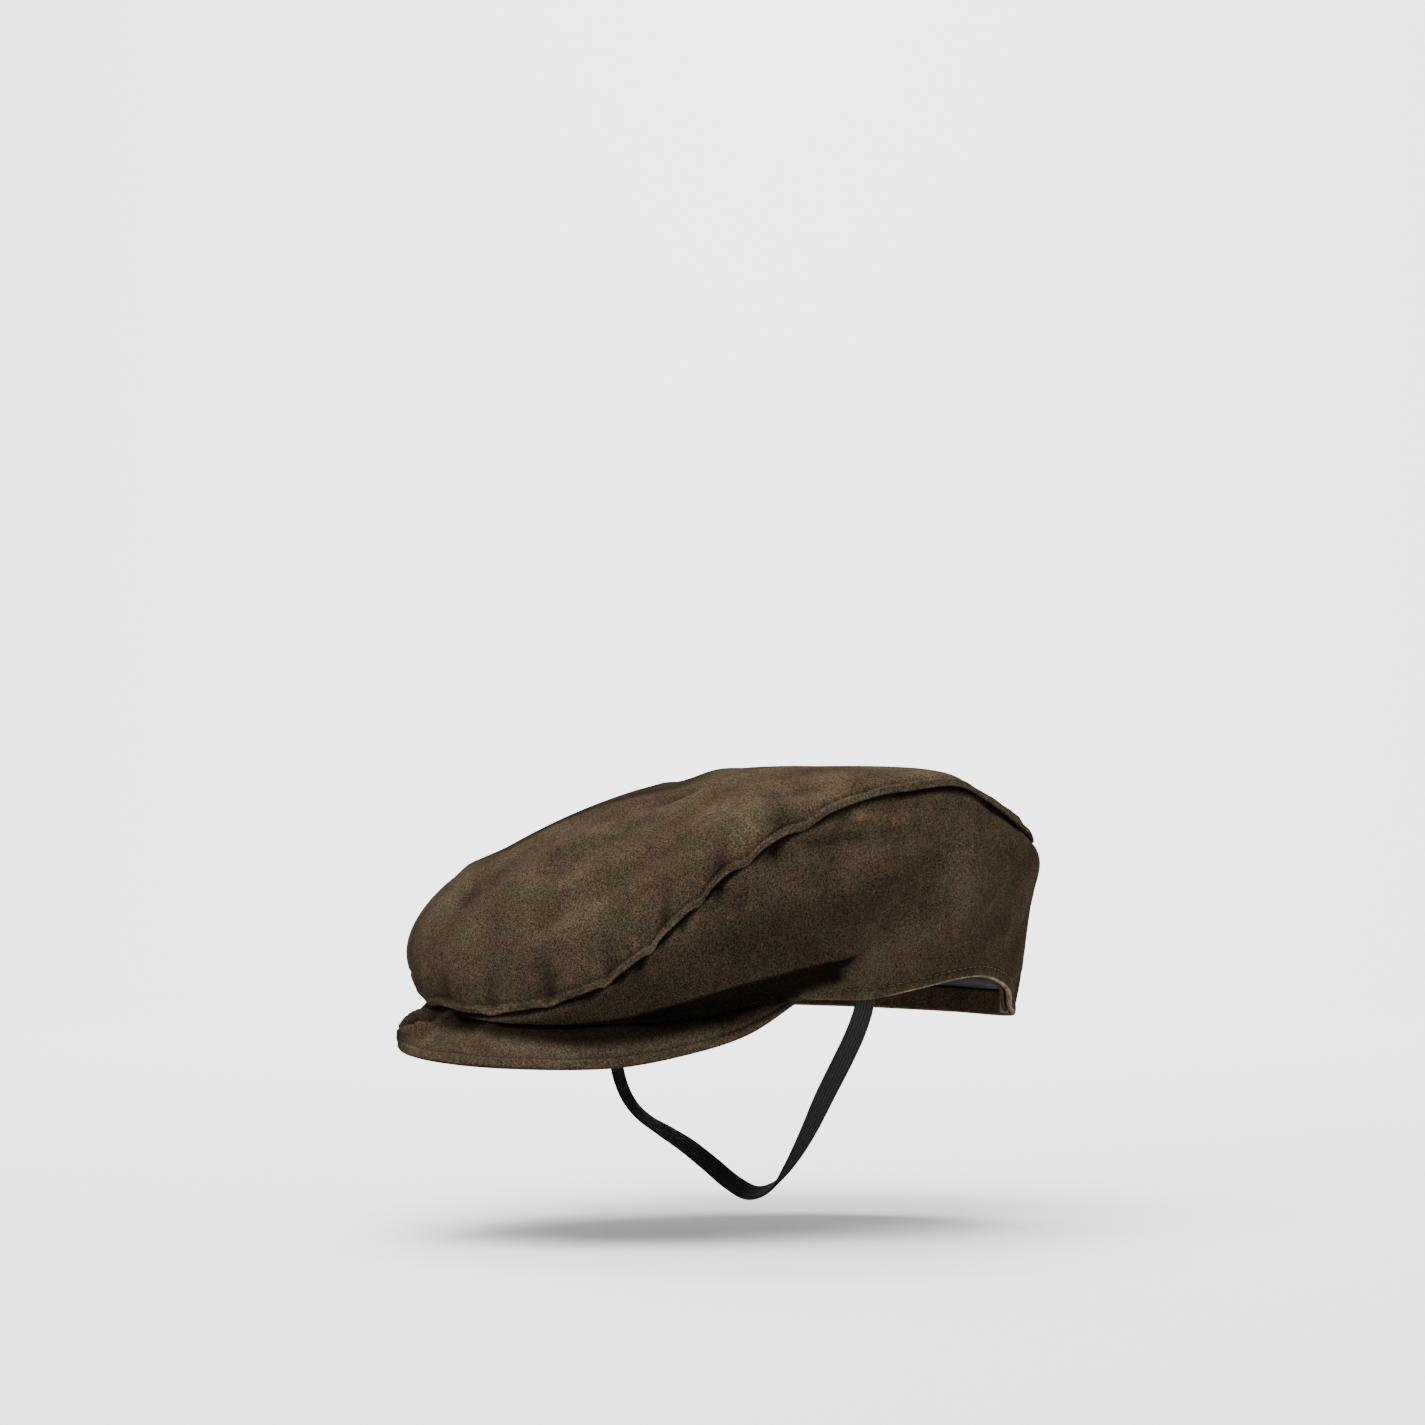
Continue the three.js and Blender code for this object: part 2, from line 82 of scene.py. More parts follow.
# %% Curves through named places
def through(xs, ys, x, period=0.0):
    """A smooth curve through (xs, ys) at x. With a period it runs round without an end."""
    xs, ys, x = np.asarray(xs, float), np.asarray(ys, float), np.asarray(x, float)
    if period:
        x = (x - xs[0]) % period + xs[0]
        xs = np.concatenate([xs[-1:] - period, xs, xs[:2] + period])
        ys = np.concatenate([ys[-1:], ys, ys[:2]])
    else:
        xs = np.concatenate([2 * xs[:1] - xs[1:2], xs, 2 * xs[-1:] - xs[-2:-1]])
        ys = np.concatenate([2 * ys[:1] - ys[1:2], ys, 2 * ys[-1:] - ys[-2:-1]])
    i = np.clip(np.searchsorted(xs, x, side="right") - 1, 1, len(xs) - 3)
    wide = i.shape + (1,) * (ys.ndim - 1)
    span = (xs[i + 1] - xs[i]).reshape(wide)
    s = (x - xs[i]).reshape(wide) / span
    slope_a = (ys[i + 1] - ys[i - 1]) / (xs[i + 1] - xs[i - 1]).reshape(wide) * span
    slope_b = (ys[i + 2] - ys[i]) / (xs[i + 2] - xs[i]).reshape(wide) * span
    return ((2 * s**3 - 3 * s**2 + 1) * ys[i] + (s**3 - 2 * s**2 + s) * slope_a
            + (3 * s**2 - 2 * s**3) * ys[i + 1] + (s**3 - s**2) * slope_b)


def bump(x, width):
    """1 in the middle and 0 well away from it."""
    return np.exp(-((x / width) ** 2))


def ease(x, low, high):
    """0 below low, 1 above high, and smooth between."""
    s = np.clip((x - low) / (high - low), 0, 1)
    return s * s * (3 - 2 * s)


print("half way from 0 to 2 on the way to 1:", through([0, 1, 2], [0, 2, 1], [0.5]))

# %% [markdown]
# Each cloth starts as Blender's own grid. Its vertices are moved onto rows and columns of points
# that are worked out beforehand, so its faces stay in order and its map follows the threads. Points
# that fall together, as in the middle of the crown, are merged.

# %% Cloth on a grid
merge_within = 1e-6


def arc(s, a, b, c, d):
    """A smooth arc from a (0) to d (1), which b and c pull on."""
    return (1 - s) ** 3 * a + 3 * s * (1 - s) ** 2 * b + 3 * s**2 * (1 - s) * c + s**3 * d


def unit(v):
    return v / np.maximum(np.linalg.norm(v, axis=-1, keepdims=True), 1e-9)


def at_places(places, run, line):
    """The points of a line at these distances along it."""
    return np.stack([np.interp(places, run, values) for values in line.T], axis=1)


def cloth_map(across, up):
    """The map of a cloth, from a value across and a value up it for each point, in mm."""
    return np.stack(np.broadcast_arrays(across, up), axis=-1)


def run_along(points, axis):
    """How far each point lies along its row or column, in mm."""
    steps = np.linalg.norm(np.diff(points, axis=axis), axis=-1)
    start = np.zeros_like(np.take(steps, [0], axis=axis))
    return np.concatenate([start, np.cumsum(steps, axis=axis)], axis=axis)


def new_piece(name, faces_across, faces_up):
    """A grid from Blender's own primitive, with the row and column of each of its vertices."""
    bpy.ops.object.select_all(action="DESELECT")
    bpy.ops.mesh.primitive_grid_add(x_subdivisions=faces_across, y_subdivisions=faces_up, size=1)
    piece = bpy.context.object
    piece.name = piece.data.name = name
    flat = np.empty(len(piece.data.vertices) * 3)
    piece.data.vertices.foreach_get("co", flat)
    flat = flat.reshape(-1, 3)
    row = np.rint((flat[:, 0] + 0.5) * faces_across).astype(int)
    column = np.rint((flat[:, 1] + 0.5) * faces_up).astype(int)
    return piece, row, column


def lay_cloth(name, points, uv, outside):
    """A grid laid on rows and columns of points in mm. outside is a direction out of each point."""
    rows, columns = points.shape[:2]
    piece, row, column = new_piece(name, rows - 1, columns - 1)
    mesh = piece.data
    mesh.vertices.foreach_set("co", (points[row, column] * mm).ravel())
    corner = np.empty(len(mesh.loops), int)
    mesh.loops.foreach_get("vertex_index", corner)
    mesh.uv_layers[0].name = "cloth"
    mesh.uv_layers[0].data.foreach_set("uv", (uv[row[corner], column[corner]] * mm).ravel())
    mesh.update()
    normal = np.empty(len(mesh.vertices) * 3)
    mesh.vertices.foreach_get("normal", normal)
    facing = (normal.reshape(-1, 3) * outside[row, column]).sum()
    bpy.ops.object.mode_set(mode="EDIT")
    bpy.ops.mesh.select_all(action="SELECT")
    bpy.ops.mesh.remove_doubles(threshold=merge_within)
    if facing < 0:
        bpy.ops.mesh.flip_normals()
    bpy.ops.object.mode_set(mode="OBJECT")
    bpy.ops.object.shade_smooth()
    print(name, len(mesh.polygons), "faces")
    return piece


print("a cloth's vertices merge within", merge_within, "m")

# %% [markdown]
# The chin strap comes first, because it is a free cord: flat braided elastic, 6.5 mm wide, in one
# loop from hem to hem. Its middle line is the one in the solids. Its width starts along the head
# and turns a little as the elastic hangs. The braid shows as ribs along its length, so the section
# that is swept along the line is drawn with seven soft ribs on each face.

# %% Chin strap
strap_wide, strap_thick, strap_ribs, rib_deep = 6.5, 1.2, 7, 0.5
strap_steps, fine_steps = 260, 4000
strap_line = np.array([
    # x, y, z and the turn of the width in degrees
    [66.1, -11.5, 8.5, 10], [66.1, -11.5, 2, 10], [65.2, -11.6, -4, 14], [61.2, -12.2, -12, 22],
    [56.2, -13.2, -20, 26], [49.3, -15, -31, 20], [41.6, -16, -42.5, 2], [33.5, -16.8, -52.5, -18],
    [24.5, -17, -60, -36], [12.5, -17, -63.4, -38], [0.5, -17, -61, -32], [-13.5, -17, -55.5, -28],
    [-27, -17, -50.5, -24], [-39.5, -17.4, -46.6, -14], [-50.5, -18.5, -42.6, 2],
    [-58.5, -19.4, -37, 14], [-63.6, -20, -28.5, 18], [-65.6, -20.2, -18, 17],
    [-65.7, -19.9, -8, 17], [-65.5, -19.8, -1, 17], [-65.5, -19.8, 5.5, 17],
])


def strap_rings(steps):
    """The middle of the strap, its width direction and its thickness direction, at even steps."""
    places = np.linspace(0, len(strap_line) - 1, fine_steps + 1)
    fine = through(np.arange(len(strap_line)), strap_line, places)
    run = np.concatenate([[0], np.cumsum(np.linalg.norm(np.diff(fine[:, :3], axis=0), axis=1))])
    even = np.linspace(0, run[-1], steps + 1)
    line = at_places(even, run, fine)
    middle, turn = line[:, :3], np.radians(line[:, 3])[:, None]
    along = unit(np.gradient(middle, axis=0))
    level = unit(np.array([0, 1, 0]) - along * along[:, 1:2])
    side = np.cross(along, level)
    wide = level * np.cos(turn) + side * np.sin(turn)
    return middle, wide, np.cross(along, wide), even


def strap_section():
    """Places round the strap's section: how far across, and how far out, from -1 to 1."""
    across = np.linspace(-1, 1, strap_ribs * 6 + 1)
    ribs = 1 - rib_deep * (1 - np.abs(np.sin(across * strap_ribs * math.pi / 2 + math.pi / 2)))
    edge = np.sqrt(np.clip(1 - np.abs(across) ** 8, 0, 1)) * 0.9 + 0.1
    face = np.stack([across, ribs * edge], axis=1)
    return np.concatenate([face, (face * [1, -1])[::-1]])


middle, wide, thick, run = strap_rings(strap_steps)
section = strap_section()
across = section[:, 0] * strap_wide / 2
proud = section[:, 1] * strap_thick / 2
across, proud = np.append(across, across[0]), np.append(proud, proud[0])
rings = (middle[:, None] + wide[:, None] * across[None, :, None]
         + thick[:, None] * proud[None, :, None])
around_strap = np.arange(len(across)) * (2 * strap_wide / len(across))
strap_uv = cloth_map(run[:, None], around_strap)
chin_strap = lay_cloth("elastic_strap", rings, strap_uv, rings - middle[:, None])
bpy.ops.object.mode_set(mode="EDIT")
bpy.ops.mesh.select_all(action="DESELECT")
bpy.ops.mesh.select_non_manifold()
bpy.ops.mesh.edge_face_add()
bpy.ops.object.mode_set(mode="OBJECT")

# %% [markdown]
# The crown is worked out from one row of places for each direction round the head, as a hatter
# marks a block. "Out" is the distance from the middle and "up" the height, both in millimetres.

# %% The block of the crown
rim, tuck, hang, belly, seam, shoulder = range(6)
block = np.array([
    # angle, then out and up of the rim, tuck, hang, belly and seam, and the shoulder over the seam
    [0, 88, 4, 112, -6.5, 117, -7.5, 119.5, -5.5, 119, -3, 16, 36],
    [15, 86, 4, 111, -7.5, 115.5, -7.5, 117, -5, 116, -2, 14, 37],
    [30, 82, 3, 99, -8, 104.5, -4.5, 108, 2, 109, 8.5, 11, 34],
    [50, 77, 1, 84, -3.5, 96, 5.5, 101, 20, 103, 42, 7, 20],
    [70, 73, 0, 76, 4, 88.5, 13.5, 96, 36, 98, 61, 4, 10],
    [80, 72, 0, 74, 8, 81, 16, 94, 39, 95, 64, 3, 8],
    [95, 72, 3, 75, 12, 81, 22, 92, 44, 91, 65.5, 3, 7],
    [110, 71.5, 5.4, 74.5, 16, 79, 25, 90, 43, 87, 57.5, 2, 7],
    [125, 72, 5.2, 75, 16, 78.5, 26, 87, 42, 83.5, 51.5, 0, 8],
    [150, 76, -1.6, 78.5, 8, 80.5, 18.5, 83.5, 36, 81.8, 47.5, -5, 10],
    [160, 79, -6, 81, 4, 82.5, 15.5, 85, 34, 84, 47, -5, 10],
    [168, 84, -9.2, 86.5, 2, 88.5, 13, 90.5, 32, 88.5, 47, -5, 10],
    [190, 82, -9, 84.5, 1, 87, 12, 91, 30, 90, 45, 0, 11],
    [215, 77, -8, 80, 1.5, 84, 12, 91, 28, 89, 43, 4, 12],
    [240, 74, -7, 77, 2, 83, 12, 92, 27, 90, 42, 5, 12],
    [270, 72, -4, 76, 4, 84, 12, 95, 27, 92, 42, 6, 14],
    [305, 76, 0, 82, 0, 93, 3, 101, 14, 103, 26, 8, 13],
    [332, 83, 3, 100, -3, 108, -2, 113, 2, 115, 6, 15, 24],
])
side_stops = [0, 0.2, 0.4, 0.7, 1]
crown_middle, level_share, level_slope = np.array([0, -15, 71.2]), 0.52, (0.015, -0.05)
crown_wall, crown_rest, rest_softness, peak_seat = 1.6, 0.9, 1.2, 0.6
front_join, back_join = 0.0, 168.0

peak = np.array([
    # angle, how far out and up the edge lies, and how high the middle arches
    [-61, 76, -0.5, 0], [-50, 87, -6, 2], [-42, 96, -10, 4], [-30, 112, -12.5, 8],
    [-15, 125.7, -14.3, 9.5], [0, 131, -16.5, 5.5], [15, 126.5, -18, 4.5], [30, 111, -18, 4.5],
    [42, 96, -13.8, 3.5], [50, 87, -9.5, 2], [61, 76, -0.5, 0],
])


def block_at(line, angle):
    """Out and up of one line of the block, at these angles."""
    both = through(block[:, 0], block[:, 1 + 2 * line:3 + 2 * line], angle, 360.0)
    return both[..., 0], both[..., 1]


def peak_at(angle):
    both = through(peak[:, 0], peak[:, 1:], angle)
    return both[..., 0], both[..., 1], both[..., 2]


def around(angle, out, height):
    a = np.radians(angle)
    return np.stack([out * np.sin(a), -out * np.cos(a), height + 0 * a], axis=-1)


def peak_face(angle, share):
    """The upper face of the peak, from the crown (0) to its edge (1)."""
    rim_out, rim_up = block_at(rim, angle)
    edge_out, edge_up, arch = peak_at(angle)
    out = (rim_out + peak_seat) * (1 - share) + edge_out * share
    height = (rim_up - peak_seat) * (1 - share) + edge_up * share + 4 * arch * share * (1 - share)
    return around(angle, out, height)


def side_face(angle, share):
    """The outside of the side panels, from the hem (0) to the seam (1), as rows of angles."""
    lines = [block_at(line, angle) for line in (rim, tuck, hang, belly, seam)]
    out = through(side_stops, np.array([line[0] for line in lines]), share).T
    height = through(side_stops, np.array([line[1] for line in lines]), share).T
    turn = ((angle + 180) % 360 - 180)[:, None]
    rim_out = block_at(rim, angle)[0][:, None] + peak_seat
    edge_out = peak_at(np.clip(turn, peak[0, 0], peak[-1, 0]))[0]
    reach = (out - rim_out) / (edge_out - rim_out)
    floor = peak_face(np.clip(turn, peak[0, 0], peak[-1, 0]), np.clip(reach, 0, 1))[..., 2] + crown_rest
    rests = (np.abs(turn) <= peak[-1, 0]) & (reach >= 0) & (reach <= 1)
    height = np.where(rests, (height + floor + np.hypot(height - floor, rest_softness)) / 2, height)
    return around(np.broadcast_to(angle[:, None], out.shape), out, height)


def top_face(angle, share):
    """The outside of the top panel, from the middle of the crown (0) to the seam (1)."""
    edge = side_face(angle, np.array([1.0]))[:, 0]
    level = edge - crown_middle
    level[:, 2] = level[:, 0] * level_slope[0] + level[:, 1] * level_slope[1]
    more_out, more_up = block_at(shoulder, angle)
    over = around(angle, block_at(seam, angle)[0] + more_out, edge[:, 2] + more_up)
    easy = crown_middle + level * level_share
    return arc(share[None, :, None], crown_middle, easy[:, None], over[:, None], edge[:, None])


def outward(points, closed):
    """The direction out of a grid of points whose rows run round the head and columns up it."""
    if closed:
        round_about = np.roll(points, -1, 0) - np.roll(points, 1, 0)
    else:
        round_about = np.gradient(points, axis=0)
    return unit(np.cross(round_about, np.gradient(points, axis=1)))


print("block:", len(block), "directions; peak:", len(peak))

# %% [markdown]
# Waxed cotton creases softly. Each fold runs between two places near the cloth, and is a ridge
# where its height is positive. The large ones are in the solids too. Short puckers stand across
# the seam where the longer top panel is eased onto the sides, and die out within a few centimetres.
# Between them the seam's edge sways down a little.

# %% Folds and puckers
top_folds = np.array([
    # from x, y, z to x, y, z, width, height
    [-44, -74, 50, -20, -36, 67, 20, -4.5],
    [-16, -84, 50, 6, -48, 66, 16, -3.5],
    [36, -110, 15, 62, -84, 38, 4.5, 1.2],
    [35, -108, 24, 60, -77, 47, 4.5, -1.5],
    [36, -100, 32, 66, -48, 64, 5.5, 1.8],
    [-5, -111, 30, 32, -55, 64, 7, -2],
    [54, -74, 52, 64, -40, 67, 4.5, -1.4],
    [73, -62, 56, 86, -51, 57, 4, 1.2],
    [79, -47, 64, 89, -41, 62, 5, -1.5],
    [-48, -84, 40, -22, -30, 68, 6, 2],
    [-66, -70, 36, -70, -10, 56, 7, -2],
    [-45, 10, 66, -62, 48, 52, 7, 1.6],
    [20, 10, 70, 35, 55, 62, 8, -1.4],
])
side_folds = np.array([
    [84, -57, 46, 93, -29, 50, 4, -1.6],
    [88, -48, 53, 94, -15, 54, 4, 1.4],
    [93, -26, 58, 93, -4, 60, 4, -1],
    [95, -2, 44, 82, -14, 22, 9, -2],
    [81, -9, 20, 74, 19, 19, 4, 0.9],
    [79, -2, 15, 72, 21, 15, 3.5, -0.8],
    [-94, -10, 26, -86, 20, 14, 8, -1.6],
    [-84, 28, 34, -60, 62, 30, 6, 1.2],
    [68, -66, 3.5, 84, -28, 15, 3.5, 1.5],
    [66, -58, -0.5, 76, -26, 7, 4.5, -2.5],
])
top_puckers = np.array([
    # angle round the head, width and length in mm, height
    [-33, 5, 14, -1.2], [-27, 5, 16, 1.3], [-19, 5, 15, -1.6], [-8, 5, 14, 1.2], [-2, 4, 11, -1.4],
    [4, 4, 12, 1.3], [9.3, 3.4, 12, -1.7], [15.5, 4, 13, 1.5], [19.4, 3.2, 13, -1.8],
    [24.7, 4, 14, 1.3], [29, 3.0, 12, -1.5], [33.5, 3.5, 14, 1.3], [38, 3.5, 16, -1.5],
    [43, 4.2, 20, 1.5], [47, 3.6, 18, -1.6], [52, 4.2, 20, 1.3], [57, 4.0, 18, -1.4], [63, 5, 16, 1.1],
    [72, 5, 16, -0.9], [84, 6, 15, 0.7], [100, 7, 17, -0.9], [118, 6, 17, 0.9], [140, 6, 16, -1.0],
    [156, 5, 14, 0.8], [164, 3.5, 14, -0.9], [172, 3.5, 14, 0.8], [186, 6, 16, -0.7],
    [210, 7, 18, 0.7], [236, 7, 18, -0.7], [262, 6, 16, 0.7], [285, 6, 16, -0.8], [303, 5, 16, 0.8],
    [316, 5, 15, -0.9],
])
side_puckers = np.array([
    [22, 3, 6, 0.6], [25.7, 2.3, 5, -1.9], [28.3, 2.4, 7, 1.0], [30.5, 2.0, 5, -1.8],
    [33.5, 2.3, 6, -2.6], [35.6, 2.2, 7, 1.1], [37.6, 2.0, 5, -1.6], [40.7, 2.3, 6, -2.1],
    [43.5, 3, 10, 1.2], [46.7, 2.5, 7, -2.3], [51, 4, 13, 1.2], [56, 3.6, 8, -2.4], [61, 4, 13, 1.2],
    [68, 4, 14, -1.1], [86, 6, 16, 0.8], [104, 6, 16, -0.7], [121, 6, 15, 0.6], [143, 5, 16, -0.7],
    [158, 4, 14, 0.6], [164, 3, 12, -0.8], [172, 3, 12, -0.8], [180, 5, 14, 0.7], [205, 6, 16, -0.7],
    [230, 6, 16, 0.6], [255, 6, 16, -0.7], [280, 5, 16, 0.7], [300, 4, 14, -0.8], [318, 4, 10, 0.7],
    [334, 4, 8, -0.6],
])
side_wrinkles = np.array([
    # finer creases, written as the folds are
    [87, -50, 53.5, 92, -31, 55, 2.4, 1.4], [92, -31, 55, 92, -15, 53.5, 2.4, 1.2],
    [85, -53, 50, 92, -32, 51, 3.0, -1.5], [92, -22, 60, 93, -8, 61, 2.4, -0.7],
    [96, -55, 24, 92, -20, 34, 6, 0.9], [94, -62, 12, 92, -34, 20, 5, -0.9],
    [27.5, 76.5, 6, 28.6, 79, 30, 1.8, 1.3], [22.5, 80.5, 6, 23, 83.5, 30, 2.0, -1.5],
    [76, 40, 30, 70, 52, 12, 5, 0.8], [-96, -30, 30, -90, 10, 40, 5, 0.8],
    [-88, 40, 36, -70, 58, 26, 5, -0.8],
])
top_wrinkles = np.array([
    [50, -98, 34, 68, -70, 54, 2.6, 0.8], [46, -104, 28, 58, -86, 44, 2.4, -0.8],
    [22, -112, 18, 40, -96, 40, 3.2, 0.9], [14, -116, 10, 30, -104, 32, 3.0, -0.9],
    [8, -110, 28, 26, -84, 54, 4.0, 0.9], [62, -72, 56, 78, -46, 65, 2.6, 0.9],
    [66, -66, 55, 80, -44, 63, 2.2, -0.9], [30, -70, 64, 52, -30, 69, 4.5, 0.9],
    [18, -80, 60, 38, -42, 68, 4.0, -0.9], [-30, -104, 20, -14, -84, 48, 4.5, 0.9],
    [-70, -40, 46, -60, 0, 58, 4, 0.9], [0, 20, 71, 10, 60, 64, 5, 0.8], [-30, 30, 69, -28, 62, 58, 4, -0.9],
])
seam_sways = np.array([
    # angle, width and how far the seam's edge hangs down there, in mm
    [-8, 4, 1.0], [9, 3.4, 1.0], [19.4, 3.4, 1.1], [28.3, 2.6, 1.4], [35.6, 2.6, 1.7], [43.5, 3, 1.8],
    [51, 3.6, 1.7], [61, 4, 1.4], [72, 6, 0.8], [100, 8, 0.7], [140, 8, 0.8], [186, 8, 0.8],
    [236, 8, 0.9], [285, 8, 0.9], [316, 6, 0.9], [334, 5, 0.7],
])
pucker_reach, out_of_reach = 40, 1e3


def fold_lift(points, folds):
    """How far the folds lift or sink the cloth at each point, in mm."""
    lift = np.zeros(points.shape[:-1])
    for fold in folds:
        start, end = fold[:3], fold[3:6]
        along = end - start
        s = np.clip(((points - start) @ along) / (along @ along), 0, 1)
        gap = np.linalg.norm(points - start - s[..., None] * along, axis=-1)
        lift += fold[7] * bump(gap, fold[6])
    return lift


def gap_along(places, near, whole):
    """How far each place is from near, the short way round where the seam is a closed ring."""
    gap = places - near
    return (gap + whole / 2) % whole - whole / 2 if whole else gap


def seam_sway(angle, places):
    """How far the edge of the top panel hangs down over the sides, which makes the seam wavy."""
    sway = np.zeros(len(angle))
    for at, width, drop in seam_sways:
        near = np.interp(at % 360, angle, places)
        sway += drop * bump(gap_along(places, near, places[-1]), width)
    return sway


def pucker_lift(angle, places, from_seam, puckers, whole=0):
    """Short waves across a seam: angle and place along it for each row, distance from it for each
    point."""
    lift = np.zeros(from_seam.shape)
    for at, width, length, height in puckers:
        turn = (angle - at + 180) % 360 - 180
        near = np.interp(at % 360, angle % 360, places, period=360)
        gap = np.where(np.abs(turn) < pucker_reach, gap_along(places, near, whole), out_of_reach)
        fade_out = np.exp(-((from_seam / length) ** 2)) * ease(from_seam, -1.0, 2.2)
        lift += height * bump(gap, width)[:, None] * fade_out
    return lift


print("folds:", len(top_folds) + len(side_folds), "puckers:", len(top_puckers) + len(side_puckers))

# %% [markdown]
# The top panel is one oval piece. Its edge is turned under, laid over the sides and stitched close
# to the fold, so the last 2 mm stand up as a small roll. The rows of the grid crowd together there.
# The last columns go round the roll and under it.

# %% Top panel
edge_stitch, roll_high = 2.0, 0.75
up_column = 40  # well inside the panel, where out of the cloth is up
roll_under = ((0.35, 0.68), (0.62, 0.42), (0.72, 0.08), (0.62, -0.28), (0.3, -0.6), (-0.3, -0.8),
              (-1.2, -0.95))  # how far on from the seam and up each last column lies


def wear_and_shade_of(lift, low, high):
    """Where wax rubs off: on what stands up, from 0 to 1. Given what sinks, it is painted shade in a hollow.
    """
    return np.clip((lift - low) / (high - low), 0, 1)


def give_point_values(piece, values, points, name="wear_and_rib_light", otherwise=0.3):
    """Writes a value for each point of the grid to the piece, by its place."""
    lookup = {tuple(key): value for key, value in zip(np.rint(points.reshape(-1, 3) * 100).astype(int),
                                                       values.ravel())}
    mesh = piece.data
    flat = np.empty(len(mesh.vertices) * 3)
    mesh.vertices.foreach_get("co", flat)
    keys = np.rint(flat.reshape(-1, 3) / mm * 100).astype(int)
    found = np.array([lookup.get(tuple(key), otherwise) for key in keys], float)
    layer = mesh.attributes.new(name, "FLOAT", "POINT")
    layer.data.foreach_set("value", found)


def and_tail(values, tail, value):
    """The values of a grid, and one value for all the points of its turned edge."""
    return np.concatenate([values, np.full(tail.shape[:2], value)], axis=1)


angles = np.linspace(0, 360, 721)
shares = np.concatenate([np.linspace(0, 0.9, 62), 0.9 + 0.1 * np.linspace(0, 1, 27)[1:] ** 0.8])
flat_top = top_face(angles, shares)
out_top = outward(flat_top[:-1], True)
out_top = np.concatenate([out_top, out_top[:1]])
out_top[:, 0] = (0, 0, 1)
out_top *= np.sign(out_top[:, up_column:up_column + 1, 2:3] + 1e-9)
from_seam = run_along(flat_top, 1)
from_seam = from_seam[:, -1:] - from_seam
seam_run = run_along(flat_top[:, -1:], 0)[:, 0]
blend = ease(from_seam, 0.0, 12.0) * ease(shares, 0, 0.1)[None, :]
folds = (fold_lift(flat_top, top_folds) + fold_lift(flat_top, top_wrinkles)) * blend
puckers = pucker_lift(angles, seam_run, from_seam, top_puckers, seam_run[-1])
roll = roll_high * ease(edge_stitch + 0.3 - from_seam, 0, 1.2)
stitch_dip = -0.35 * bump(from_seam - edge_stitch - 0.2, 0.7)
lift = folds + puckers + roll + stitch_dip
side_edge = side_face(angles, np.array([0.95, 1.0]))
side_down = unit(side_edge[:, 0] - side_edge[:, 1])
sway = side_down[:, None] * (seam_sway(angles, seam_run)[:, None] * bump(from_seam, 6.0))[..., None]
top_points = flat_top + out_top * lift[..., None] + sway
edge_in = unit(flat_top[:, -1] - flat_top[:, -4])
edge_up = out_top[:, -1]
tail = []
for onward, rise in roll_under:
    tail.append(flat_top[:, -1] + edge_in * onward + edge_up * rise + sway[:, -1])
tail = np.stack(tail, axis=1) + (edge_up * (puckers[:, -1:]))[:, None]
all_top = np.concatenate([top_points, tail], axis=1)
top_run = run_along(all_top, 1)
turn = np.radians(angles)[:, None]
top_uv = cloth_map(top_run * np.sin(turn), -top_run * np.cos(turn))
outs = np.concatenate([out_top, np.repeat(out_top[:, -1:], tail.shape[1], axis=1)], axis=1)
top_cloth = lay_cloth("top_cloth", all_top, top_uv, outs)
top_wear = wear_and_shade_of(folds + 1.6 * puckers, -0.5, 2.2) * 0.6 + 0.15 * (roll > 0.5)
give_point_values(top_cloth, and_tail(top_wear, tail, 0.1), all_top)
# Painted shade: darker in the valleys of folds, in the dips of puckers, and on the edge turned under the
# roll.
top_painted_shade = np.maximum(0.5 * wear_and_shade_of(-folds, 0.6, 3.0), 0.55 * wear_and_shade_of(-puckers, 0.3, 1.6))
give_point_values(top_cloth, and_tail(top_painted_shade, tail, 0.4), all_top, "deep", 0.0)
give_point_values(top_cloth, and_tail(0.1 * bump(from_seam, 0.6), tail, 0.05), all_top, "bare", 0.0)
print("seam", round(float(seam_run[-1])), "mm round")

# %% [markdown]
# Two side panels run from the seam down to the hem. Their tops go under the roll. They join at the
# front and at the back, where each sinks into the join. The hem is turned in: the last columns go
# round its edge and up the inside. Each point also carries three values for its finish: wear,
# where wax rubs off, bare, where the thread shows, and deep, the painted shade where cloth tucks
# away from the light.

# %% Side panels
hem_stitch = 3.0
out_column, still_columns = 70, 12  # a column near the seam, and those round the hem
hem_turned = ((2.3, 5.0), (2.2, 2.5), (2.0, 0.6), (1.5, -0.15), (0.8, -0.4), (0.25, -0.25))
hem_bare = [0, 0, 0, 0.3, 0.5, 0.7]


